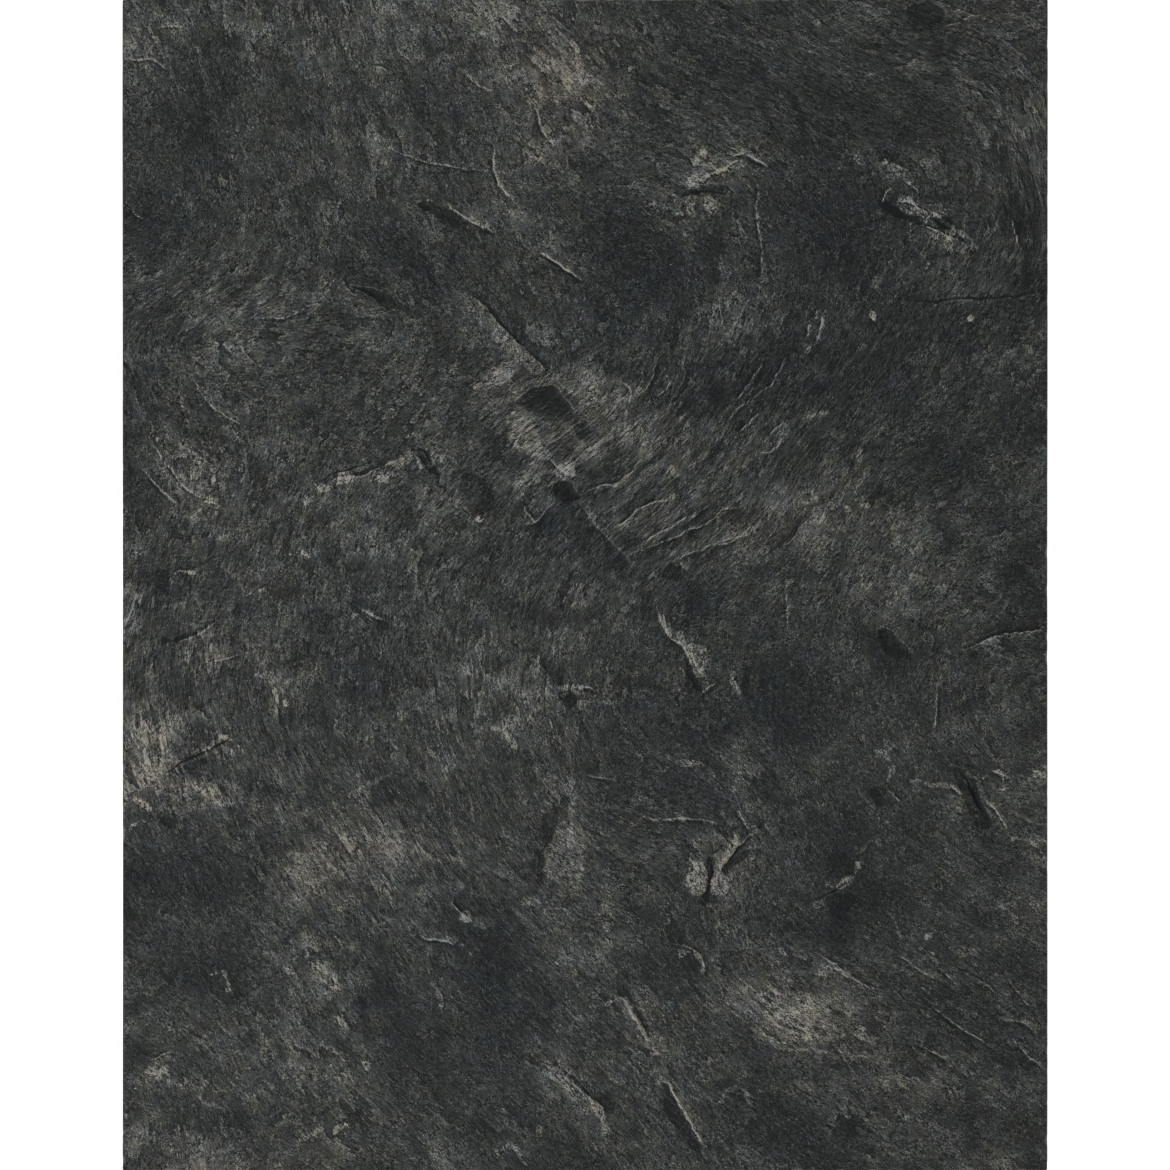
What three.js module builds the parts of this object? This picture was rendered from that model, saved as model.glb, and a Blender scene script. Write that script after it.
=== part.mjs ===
// A natural slate slab: one piece of stone, split along its cleavage on top, gauged flat underneath and
// sawn square round its four edges, as it is sold for a hearth, a step or paving.
//
// Frame: millimetres, +Z up. The origin is the middle of the gauged back, so the slab lies on z = 0,
// with its length along Y, its width along X and its split face up.

import * as THREE from "three";

// Driving dimensions of the blank, before its face is split.
const WIDTH = 900;
const LENGTH = 1140;
const THICKNESS = 30;
const TOP_ARRIS = 1.2; // edge of the split face, taken off so that it doesn't cut a hand
const BACK_ARRIS = 2;

// The split face is a net of square cells, 20 mm wide, which divides both sides evenly.
const CELL = 20;
const COLUMNS = WIDTH / CELL;
const ROWS = LENGTH / CELL;

// Long swells of the cleavage: wave height, then cycles per slab along X and Y, and phase in radians.
const SWELLS = [
  { height: 0.9, across: 0.8, along: -0.6, phase: 0.7 },
  { height: 0.6, across: -1.4, along: 1.1, phase: 2.2 },
  { height: 0.35, across: 2.3, along: 1.9, phase: 4.1 },
  { height: 0.2, across: -3.1, along: 3.6, phase: 1.3 },
];

// Ledges, where a leaf of slate broke off: the ledge follows the points, and the low ground is on the
// right hand of someone who walks along them. It comes back up to the old level over the reach.
const LEDGES = [
  { points: [[-129, 285], [-80, 251], [-43, 214], [-30, 190]], drop: 1.6, reach: 34 },
  { points: [[47, 12], [30, 36], [4, 68], [-18, 93]], drop: 2.2, reach: 85 },
  { points: [[-29, 85], [-52, 60]], drop: 1.4, reach: 40 },
  { points: [[153, -107], [116, -80], [84, -46], [68, -18]], drop: 1.8, reach: 36 },
  { points: [[-88, 338], [-113, 359], [-138, 373]], drop: 1.6, reach: 22 },
  { points: [[-2, 296], [-22, 310], [-44, 326]], drop: -1.2, reach: 30 },
  { points: [[113, -542], [100, -520], [88, -501], [76, -483]], drop: 2, reach: 26 },
  { points: [[64, -444], [52, -427], [42, -409], [31, -401]], drop: 1.4, reach: 24 },
  { points: [[150, 420], [131, 404], [102, 389]], drop: -2, reach: 20 },
  { points: [[370, 343], [344, 343], [307, 372]], drop: 2, reach: 24 },
  { points: [[126, -293], [134, -274], [144, -259], [164, -242]], drop: 2.2, reach: 26 },
  { points: [[-18, -284], [-14, -220], [-17, -150], [-30, -118]], drop: -1.1, reach: 90 },
  { points: [[-255, 97], [-222, 108], [-178, 124], [-163, 128]], drop: 1.5, reach: 36 },
  { points: [[410, -238], [386, -216], [370, -188]], drop: 2, reach: 26 },
  { points: [[450, -50], [400, -62], [368, -70]], drop: -1.6, reach: 26 },
  { points: [[-414, -182], [-398, -172], [-338, -145]], drop: 1.4, reach: 24 },
  { points: [[-129, -302], [-128, -318]], drop: -1.6, reach: 34 },
];

// Hollows, where a lens of slate came out: half lengths along and across its own axis, and that axis's
// angle from X in degrees.
const HOLLOWS = [
  { at: [-37, 177], along: 30, across: 14, turn: -12, depth: 2.6 },
  { at: [-18, 92], along: 14, across: 12, turn: -30, depth: 2.4 },
  { at: [305, -60], along: 30, across: 15, turn: -38, depth: 2 },
  { at: [378, -66], along: 20, across: 12, turn: 20, depth: 1.6 },
  { at: [-205, 283], along: 24, across: 9, turn: -32, depth: 1.8 },
  { at: [330, 561], along: 20, across: 12, turn: 0, depth: 1.8 },
  { at: [-398, -270], along: 62, across: 34, turn: -15, depth: 1.2 },
  { at: [-80, -375], along: 66, across: 26, turn: 100, depth: 1.2 },
];

// Raised bosses that the split left standing.
const BOSSES = [
  { at: [220, -408], along: 72, across: 46, turn: -30, height: 1.5 },
  { at: [4, 470], along: 56, across: 34, turn: 60, height: 1.3 },
  { at: [-225, -272], along: 80, across: 30, turn: -6, height: 1.4 },
  { at: [-410, -160], along: 46, across: 40, turn: 60, height: 1.2 },
  { at: [110, 35], along: 90, across: 34, turn: 22, height: 1 },
];

const clamp01 = (value) => Math.min(1, Math.max(0, value));

// Distance from a ledge's line at (x, y), positive on its right hand, and how far along the line it is, 0 to 1.
function besideLine(points, x, y) {
  const lengths = points.slice(1).map((p, i) => Math.hypot(p[0] - points[i][0], p[1] - points[i][1]));
  const total = lengths.reduce((sum, length) => sum + length, 0);
  let walked = 0;
  let nearest = { away: Infinity, side: 1, share: 0 };
  lengths.forEach((length, i) => {
    const [ax, ay] = points[i];
    const dx = (points[i + 1][0] - ax) / length;
    const dy = (points[i + 1][1] - ay) / length;
    const along = Math.min(length, Math.max(0, (x - ax) * dx + (y - ay) * dy));
    const away = Math.hypot(x - ax - along * dx, y - ay - along * dy);
    if (away < nearest.away) {
      const right = (x - ax) * dy - (y - ay) * dx;
      nearest = { away, side: right < 0 ? -1 : 1, share: (walked + along) / total };
    }
    walked += length;
  });
  return nearest;
}

// A ledge is deepest at its foot and in the middle of its run, and dies out at both ends.
function ledgeHeight({ points, drop, reach }, x, y) {
  const { away, side, share } = besideLine(points, x, y);
  if (side !== Math.sign(drop)) return 0;
  const run = Math.sqrt(Math.sin(Math.PI * clamp01(0.08 + 0.84 * share)));
  return -Math.abs(drop) * Math.exp(-away / reach) * run;
}

// 1 in the middle of an ellipse and 0 outside it, with a rounded brim.
function ellipse({ at, along, across, turn }, x, y) {
  const angle = THREE.MathUtils.degToRad(turn);
  const u = ((x - at[0]) * Math.cos(angle) + (y - at[1]) * Math.sin(angle)) / along;
  const v = ((y - at[1]) * Math.cos(angle) - (x - at[0]) * Math.sin(angle)) / across;
  return THREE.MathUtils.smoothstep(1.3 - Math.hypot(u, v), 0, 0.9);
}

// Height of the split face over the blank's nominal top.
function relief(x, y) {
  let height = 0;
  for (const swell of SWELLS) {
    const cycles = (swell.across * x) / WIDTH + (swell.along * y) / LENGTH;
    height += swell.height * Math.sin(2 * Math.PI * cycles + swell.phase);
  }
  for (const ledge of LEDGES) height += ledgeHeight(ledge, x, y);
  for (const hollow of HOLLOWS) height -= hollow.depth * ellipse(hollow, x, y);
  for (const boss of BOSSES) height += boss.height * ellipse(boss, x, y);
  return height;
}

// Ring of net indices round the rim of the split face, anticlockwise from above.
function rimIndices() {
  const index = (column, row) => row * (COLUMNS + 1) + column;
  const rim = [];
  for (let c = 0; c < COLUMNS; c++) rim.push(index(c, 0));
  for (let r = 0; r < ROWS; r++) rim.push(index(COLUMNS, r));
  for (let c = COLUMNS; c > 0; c--) rim.push(index(c, ROWS));
  for (let r = ROWS; r > 0; r--) rim.push(index(0, r));
  return rim;
}

function slabGeometry() {
  const positions = [];
  const faces = [];

  // Split face, stopping short of the sides by the arris.
  const halfX = WIDTH / 2 - TOP_ARRIS;
  const halfY = LENGTH / 2 - TOP_ARRIS;
  for (let r = 0; r <= ROWS; r++) {
    for (let c = 0; c <= COLUMNS; c++) {
      const x = halfX * ((2 * c) / COLUMNS - 1);
      const y = halfY * ((2 * r) / ROWS - 1);
      positions.push([x, y, THICKNESS + relief(x, y)]);
    }
  }
  // Each cell folds along the diagonal that the ground bends least across.
  for (let r = 0; r < ROWS; r++) {
    for (let c = 0; c < COLUMNS; c++) {
      const a = r * (COLUMNS + 1) + c;
      const b = a + 1;
      const d = a + COLUMNS + 1;
      const e = d + 1;
      const fallAE = Math.abs(positions[a][2] - positions[e][2]);
      const fallBD = Math.abs(positions[b][2] - positions[d][2]);
      if (fallAE < fallBD) faces.push([a, b, e], [a, e, d]);
      else faces.push([a, b, d], [b, e, d]);
    }
  }

  // Rings below the rim: foot of the top arris, head of the back arris, and rim of the gauged back.
  const rim = rimIndices();
  const rings = [
    { inset: 0, height: (z) => z - TOP_ARRIS },
    { inset: 0, height: () => BACK_ARRIS },
    { inset: BACK_ARRIS, height: () => 0 },
  ];
  let upper = rim;
  for (const { inset, height } of rings) {
    const lower = rim.map((i) => {
      const [x, y, z] = positions[i];
      const ringX = (x / halfX) * (WIDTH / 2 - inset);
      const ringY = (y / halfY) * (LENGTH / 2 - inset);
      return positions.push([ringX, ringY, height(z)]) - 1;
    });
    rim.forEach((_, i) => {
      const next = (i + 1) % rim.length;
      faces.push([upper[i], lower[i], lower[next]], [upper[i], lower[next], upper[next]]);
    });
    upper = lower;
  }

  // The gauged back is one plane, fanned from its middle.
  const middle = positions.push([0, 0, 0]) - 1;
  upper.forEach((corner, i) => faces.push([middle, upper[(i + 1) % upper.length], corner]));

  const geometry = new THREE.BufferGeometry();
  geometry.setAttribute("position", new THREE.Float32BufferAttribute(positions.flat(), 3));
  geometry.setIndex(faces.flat());
  geometry.computeVertexNormals();
  return geometry;
}

const slateMaterial = new THREE.MeshStandardMaterial({ color: 0x3a3c3b, roughness: 0.72, metalness: 0 });

const slab = new THREE.Mesh(slabGeometry(), slateMaterial);
slab.name = "slate_slab";

const part = new THREE.Group();
part.add(slab);

export default part;
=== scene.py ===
import math

import bpy
import numpy as np
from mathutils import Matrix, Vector


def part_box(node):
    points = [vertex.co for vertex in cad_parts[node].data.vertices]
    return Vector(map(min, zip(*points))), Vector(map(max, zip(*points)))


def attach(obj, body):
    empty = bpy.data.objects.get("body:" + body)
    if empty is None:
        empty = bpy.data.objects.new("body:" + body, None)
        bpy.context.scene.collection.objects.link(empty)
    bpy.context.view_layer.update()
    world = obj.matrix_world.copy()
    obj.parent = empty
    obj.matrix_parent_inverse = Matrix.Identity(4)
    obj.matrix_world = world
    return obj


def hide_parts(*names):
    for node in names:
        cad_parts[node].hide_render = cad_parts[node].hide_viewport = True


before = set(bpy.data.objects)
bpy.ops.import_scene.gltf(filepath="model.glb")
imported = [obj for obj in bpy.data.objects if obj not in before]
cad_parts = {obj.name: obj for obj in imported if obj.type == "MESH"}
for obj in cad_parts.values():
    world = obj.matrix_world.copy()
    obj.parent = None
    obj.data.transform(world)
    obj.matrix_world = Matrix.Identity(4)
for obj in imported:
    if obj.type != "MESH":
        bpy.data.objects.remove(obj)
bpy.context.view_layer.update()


# --- The blank -------------------------------------------------------------------------------------
# One block of metamorphic slate, sawn square to its length and width, with its sharp edges taken off.
# Its split face is a fine net of cells, so that everything on it can be cut into the mesh itself.
MM = 0.001  # sizes are in millimetres, and this turns them to metres
HALF_WIDTH, HALF_LENGTH = np.array(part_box("slate_slab")[1][:2]) / MM
THICKNESS = 30.0
TOP_ARRIS = 0.8  # how much the sharp upper edge is taken off
BACK_ARRIS = 2.0  # the same along the back, where it was ground off by hand
NET = 1.5  # side of one cell
BACK_STEP = 20  # cells of the split face to one cell of the back, along the slab
EDGE_STEP = 1.6  # height of one cell of the sawn edges

columns = round(2 * HALF_WIDTH / NET)
rows = round(2 * HALF_LENGTH / NET)
x_net, y_net = np.meshgrid(
    np.linspace(TOP_ARRIS - HALF_WIDTH, HALF_WIDTH - TOP_ARRIS, columns + 1),
    np.linspace(TOP_ARRIS - HALF_LENGTH, HALF_LENGTH - TOP_ARRIS, rows + 1),
)


def smooth_step(value, start, end):
    """0 before start, 1 after end, and an S between them."""
    share = np.clip((value - start) / (end - start), 0, 1)
    return share * share * (3 - 2 * share)


# --- Its grain -------------------------------------------------------------------------------------
# Slate splits along its cleavage and frays along its grain, the way its mica flakes lie. The grain
# follows these lines, drawn over the face, and sweeps smoothly from one to the next.
GRAIN_LINES = [
    # far left and far edge
    [(-270, 330), (-285, 430), (-290, 560)],
    [(-400, 500), (-448, 545)],
    [(-372, 380), (-385, 470), (-390, 540)],
    [(40, 240), (-60, 310), (-110, 360), (-160, 410), (-200, 480), (-228, 560)],
    [(10, 360), (-25, 430), (-55, 485), (-80, 520), (-120, 560)],
    [(90, 435), (50, 450), (20, 495), (-15, 560)],
    [(240, 440), (200, 480), (100, 540)],
    # far right
    [(440, 570), (360, 560), (300, 540)],
    [(438, 400), (422, 455), (375, 502), (300, 520)],
    [(366, 305), (382, 350), (374, 400)],
    [(322, 320), (312, 385)],
    # the great bow right of the middle
    [(178, 310), (172, 380), (150, 415)],
    [(110, 145), (150, 172), (190, 205), (222, 240), (240, 290), (235, 360), (215, 420)],
    [(60, 170), (90, 215), (118, 260), (122, 310)],
    [(70, 290), (20, 330)],
    [(320, 240), (370, 275), (440, 300)],
    [(300, 150), (370, 205), (430, 255)],
    [(285, 255), (293, 330)],
    # left of the middle
    [(-285, 50), (-278, 110), (-235, 165), (-205, 205), (-175, 245)],
    [(-135, 50), (-100, 130), (-72, 190)],
    [(-165, 95), (-140, 160), (-112, 240)],
    [(-375, 68), (-415, 105), (-440, 150)],
    [(-300, 140), (-350, 175), (-390, 215)],
    [(-320, 215), (-360, 250)],
    [(-430, 272), (-350, 285), (-280, 315)],
    [(-180, 262), (-240, 310)],
    # the fan in the middle
    [(10, 62), (80, 85), (160, 112), (225, 172)],
    [(10, 22), (60, 30), (130, 42)],
    [(-65, 15), (-15, 68)],
    # across the middle
    [(-370, 20), (-366, 95)],
    [(-385, -62), (-440, -8)],
    [(-345, -178), (-440, -130)],
    [(-272, -90), (-262, 0)],
    [(-218, -90), (-200, 0)],
    [(-155, -110), (-138, -10)],
    [(-100, -90), (-72, -5)],
    [(-90, -190), (-85, -120)],
    [(-62, -62), (-20, -18)],
    [(112, -92), (92, -50), (84, 0)],
    [(205, -70), (212, 0), (215, 50)],
    [(272, -70), (280, 0), (282, 60)],
    [(345, -160), (338, -100)],
    [(365, -38), (440, -18)],
    [(375, -66), (445, -50)],
    [(350, 30), (400, 60), (440, 90)],
    # near half
    [(-200, -470), (-240, -385), (-290, -330), (-350, -265), (-440, -195)],
    [(-240, -250), (-330, -200)],
    [(-100, -550), (-180, -505), (-270, -478), (-350, -455), (-440, -425)],
    [(-330, -395), (-430, -325)],
    [(-436, -565), (-428, -515)],
    [(-400, -565), (-396, -515)],
    [(45, -565), (0, -515), (-55, -450), (-95, -390), (-150, -335)],
    [(118, -545), (70, -450), (25, -380), (-35, -315)],
    [(170, -350), (150, -290), (148, -255)],
    [(145, -240), (60, -228)],
    [(-20, -215), (-45, -175)],
    [(265, -300), (230, -240), (190, -190)],
    [(440, -430), (370, -385), (300, -362), (210, -335)],
    [(260, -440), (160, -405)],
    [(170, -495), (30, -400)],
    [(340, -565), (260, -520), (205, -480)],
    [(445, -530), (330, -450)],
    [(400, -290), (350, -200), (330, -150)],
    [(445, -200), (385, -170)],
]
GRAIN_REACH = 42.0  # how far to the side a line steers the grain
FAR_PULL = 2e-7  # what is left of its pull far away
GRAIN_STEP = 20.0  # spacing of the points that each line is felt from
GRAIN_CELL = 7.5  # cell of the coarse net that the grain is worked out on
MOST_ROUNDS = 1500  # the climb is worked out in rounds, until less than SETTLED is left over
SETTLED = 1e-7


def points_along(line, step):
    """Points about a step apart along a line of straight stretches, and the heading at each."""
    places, headings = [], []
    for start, end in zip(np.array(line[:-1], float), np.array(line[1:], float)):
        length = np.hypot(*(end - start))
        count = max(1, round(length / step))
        shares = (np.arange(count) + 0.5) / count
        places.append(start + shares[:, None] * (end - start))
        headings.append(np.repeat([(end - start) / length], count, axis=0))
    return np.concatenate(places), np.concatenate(headings)


def grain_heading(x, y):
    """Unit vector along the grain at every place of a net, and how well the lines there agree on it."""
    along_x, along_y, pulls = np.zeros_like(x), np.zeros_like(x), np.zeros_like(x)
    for line in GRAIN_LINES:
        for (px, py), (dx, dy) in zip(*points_along(line, GRAIN_STEP)):
            away = ((x - px) ** 2 + (y - py) ** 2) / GRAIN_REACH**2
            pull = np.exp(-away / 2) + FAR_PULL / (1 + away)
            along_x += pull * dx
            along_y += pull * dy
            pulls += pull
    size = np.hypot(along_x, along_y)
    return along_x / size, along_y / size, size / pulls


def slope(height, cell):
    """Steps of a net's height along its columns and its rows."""
    return (height[:, 1:] - height[:, :-1]) / cell, (height[1:] - height[:-1]) / cell


def gather(across, along, shape, cell):
    """The transpose of slope: brings the steps between places back to the places."""
    total = np.zeros(shape)
    total[:, :-1] -= across / cell
    total[:, 1:] += across / cell
    total[:-1] -= along / cell
    total[1:] += along / cell
    return total


def field_that_climbs(want_x, want_y, cell):
    """The field whose slope is nearest to the one wanted, by conjugate gradients."""
    shape = want_x.shape
    across = (want_x[:, 1:] + want_x[:, :-1]) / 2
    along = (want_y[1:] + want_y[:-1]) / 2
    field = np.zeros(shape)
    rest = gather(across, along, shape, cell)
    search = rest.copy()
    size = (rest * rest).sum()
    for _ in range(MOST_ROUNDS):
        pushed = gather(*slope(search, cell), shape, cell)
        share = size / (search * pushed).sum()
        field += share * search
        rest -= share * pushed
        new_size = (rest * rest).sum()
        search = rest + new_size / size * search
        size = new_size
        if size < SETTLED:
            break
    return field


def read_net(field, cell, x, y, soften=False):
    """A coarse net's value at any place, between its four nearest corners."""
    column = np.clip((x + HALF_WIDTH) / cell, 0, field.shape[1] - 1.001)
    row = np.clip((y + HALF_LENGTH) / cell, 0, field.shape[0] - 1.001)
    c, r = column.astype(int), row.astype(int)
    right, up = column - c, row - r
    if soften:
        right, up = smooth_step(right, 0, 1), smooth_step(up, 0, 1)
    near = field[r, c] * (1 - right) + field[r, c + 1] * right
    far = field[r + 1, c] * (1 - right) + field[r + 1, c + 1] * right
    return near * (1 - up) + far * up


x_coarse, y_coarse = np.meshgrid(
    np.arange(-HALF_WIDTH, HALF_WIDTH + GRAIN_CELL, GRAIN_CELL),
    np.arange(-HALF_LENGTH, HALF_LENGTH + GRAIN_CELL, GRAIN_CELL),
)
heading_x, heading_y, agreement = grain_heading(x_coarse, y_coarse)
along_grain = field_that_climbs(heading_x, heading_y, GRAIN_CELL)
across_grain = field_that_climbs(-heading_y, heading_x, GRAIN_CELL)


# --- Its split face --------------------------------------------------------------------------------
# The face as the splitting chisel left it: long swells of the cleavage, raised bosses, and hollows
# and ledges where leaves of slate a millimetre or two thick broke away.
SWELLS = [  # wave height, cycles across and along the slab, phase
    (1.3, 0.8, -0.6, 0.7),
    (0.8, -1.4, 1.1, 2.2),
    (0.5, 2.3, 1.9, 4.1),
    (0.3, -3.1, 3.6, 1.3),
]
RISES = [  # middle, half lengths along and across, turn in degrees, height of a boss or depth of a dish
    (220, -408, 72, 46, -30, 1.5),
    (4, 470, 56, 34, 60, 1.3),
    (-225, -272, 80, 30, -6, 1.4),
    (-410, -160, 46, 40, 60, 1.2),
    (110, 35, 90, 34, 22, 1.0),
    (-398, -270, 62, 34, -15, -1.2),
    (-80, -375, 66, 26, 100, -1.2),
    (378, -66, 20, 12, 20, -1.0),
]
# Hollows with a crisp brim at the far side and a floor that runs out at the near side, clockwise:
# outline, depth, paleness of the brim: the pale crushed stone of its edge, painted brighter as a highlight
# where the brim faces the light.
HOLLOWS = [
    ([(-68, 178), (-60, 186), (-52, 192), (-41, 194), (-30, 193), (-22, 184), (-14, 176), (-9, 164),
      (-20, 158), (-36, 158), (-48, 163), (-60, 171)], 2.4, 0.22),
    ([(-31, 96), (-24, 103), (-13, 102), (-10, 93), (-2, 85), (-9, 79), (-22, 75), (-31, 83)], 2.4, 0.15),
    ([(-230, 292), (-206, 288), (-184, 279), (-166, 266), (-176, 265), (-200, 274)], 1.8, 0.2),
    ([(283, -45), (296, -42), (310, -56), (320, -70), (308, -74), (292, -66)], 2.0, 0.15),
    ([(311, 560), (330, 568), (350, 560), (345, 545), (325, 540)], 1.8, 0.1),
    ([(-164, 371), (-148, 374), (-130, 366), (-108, 352), (-92, 341), (-112, 343), (-134, 352),
      (-154, 362)], 1.6, 0.1),
]
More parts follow.
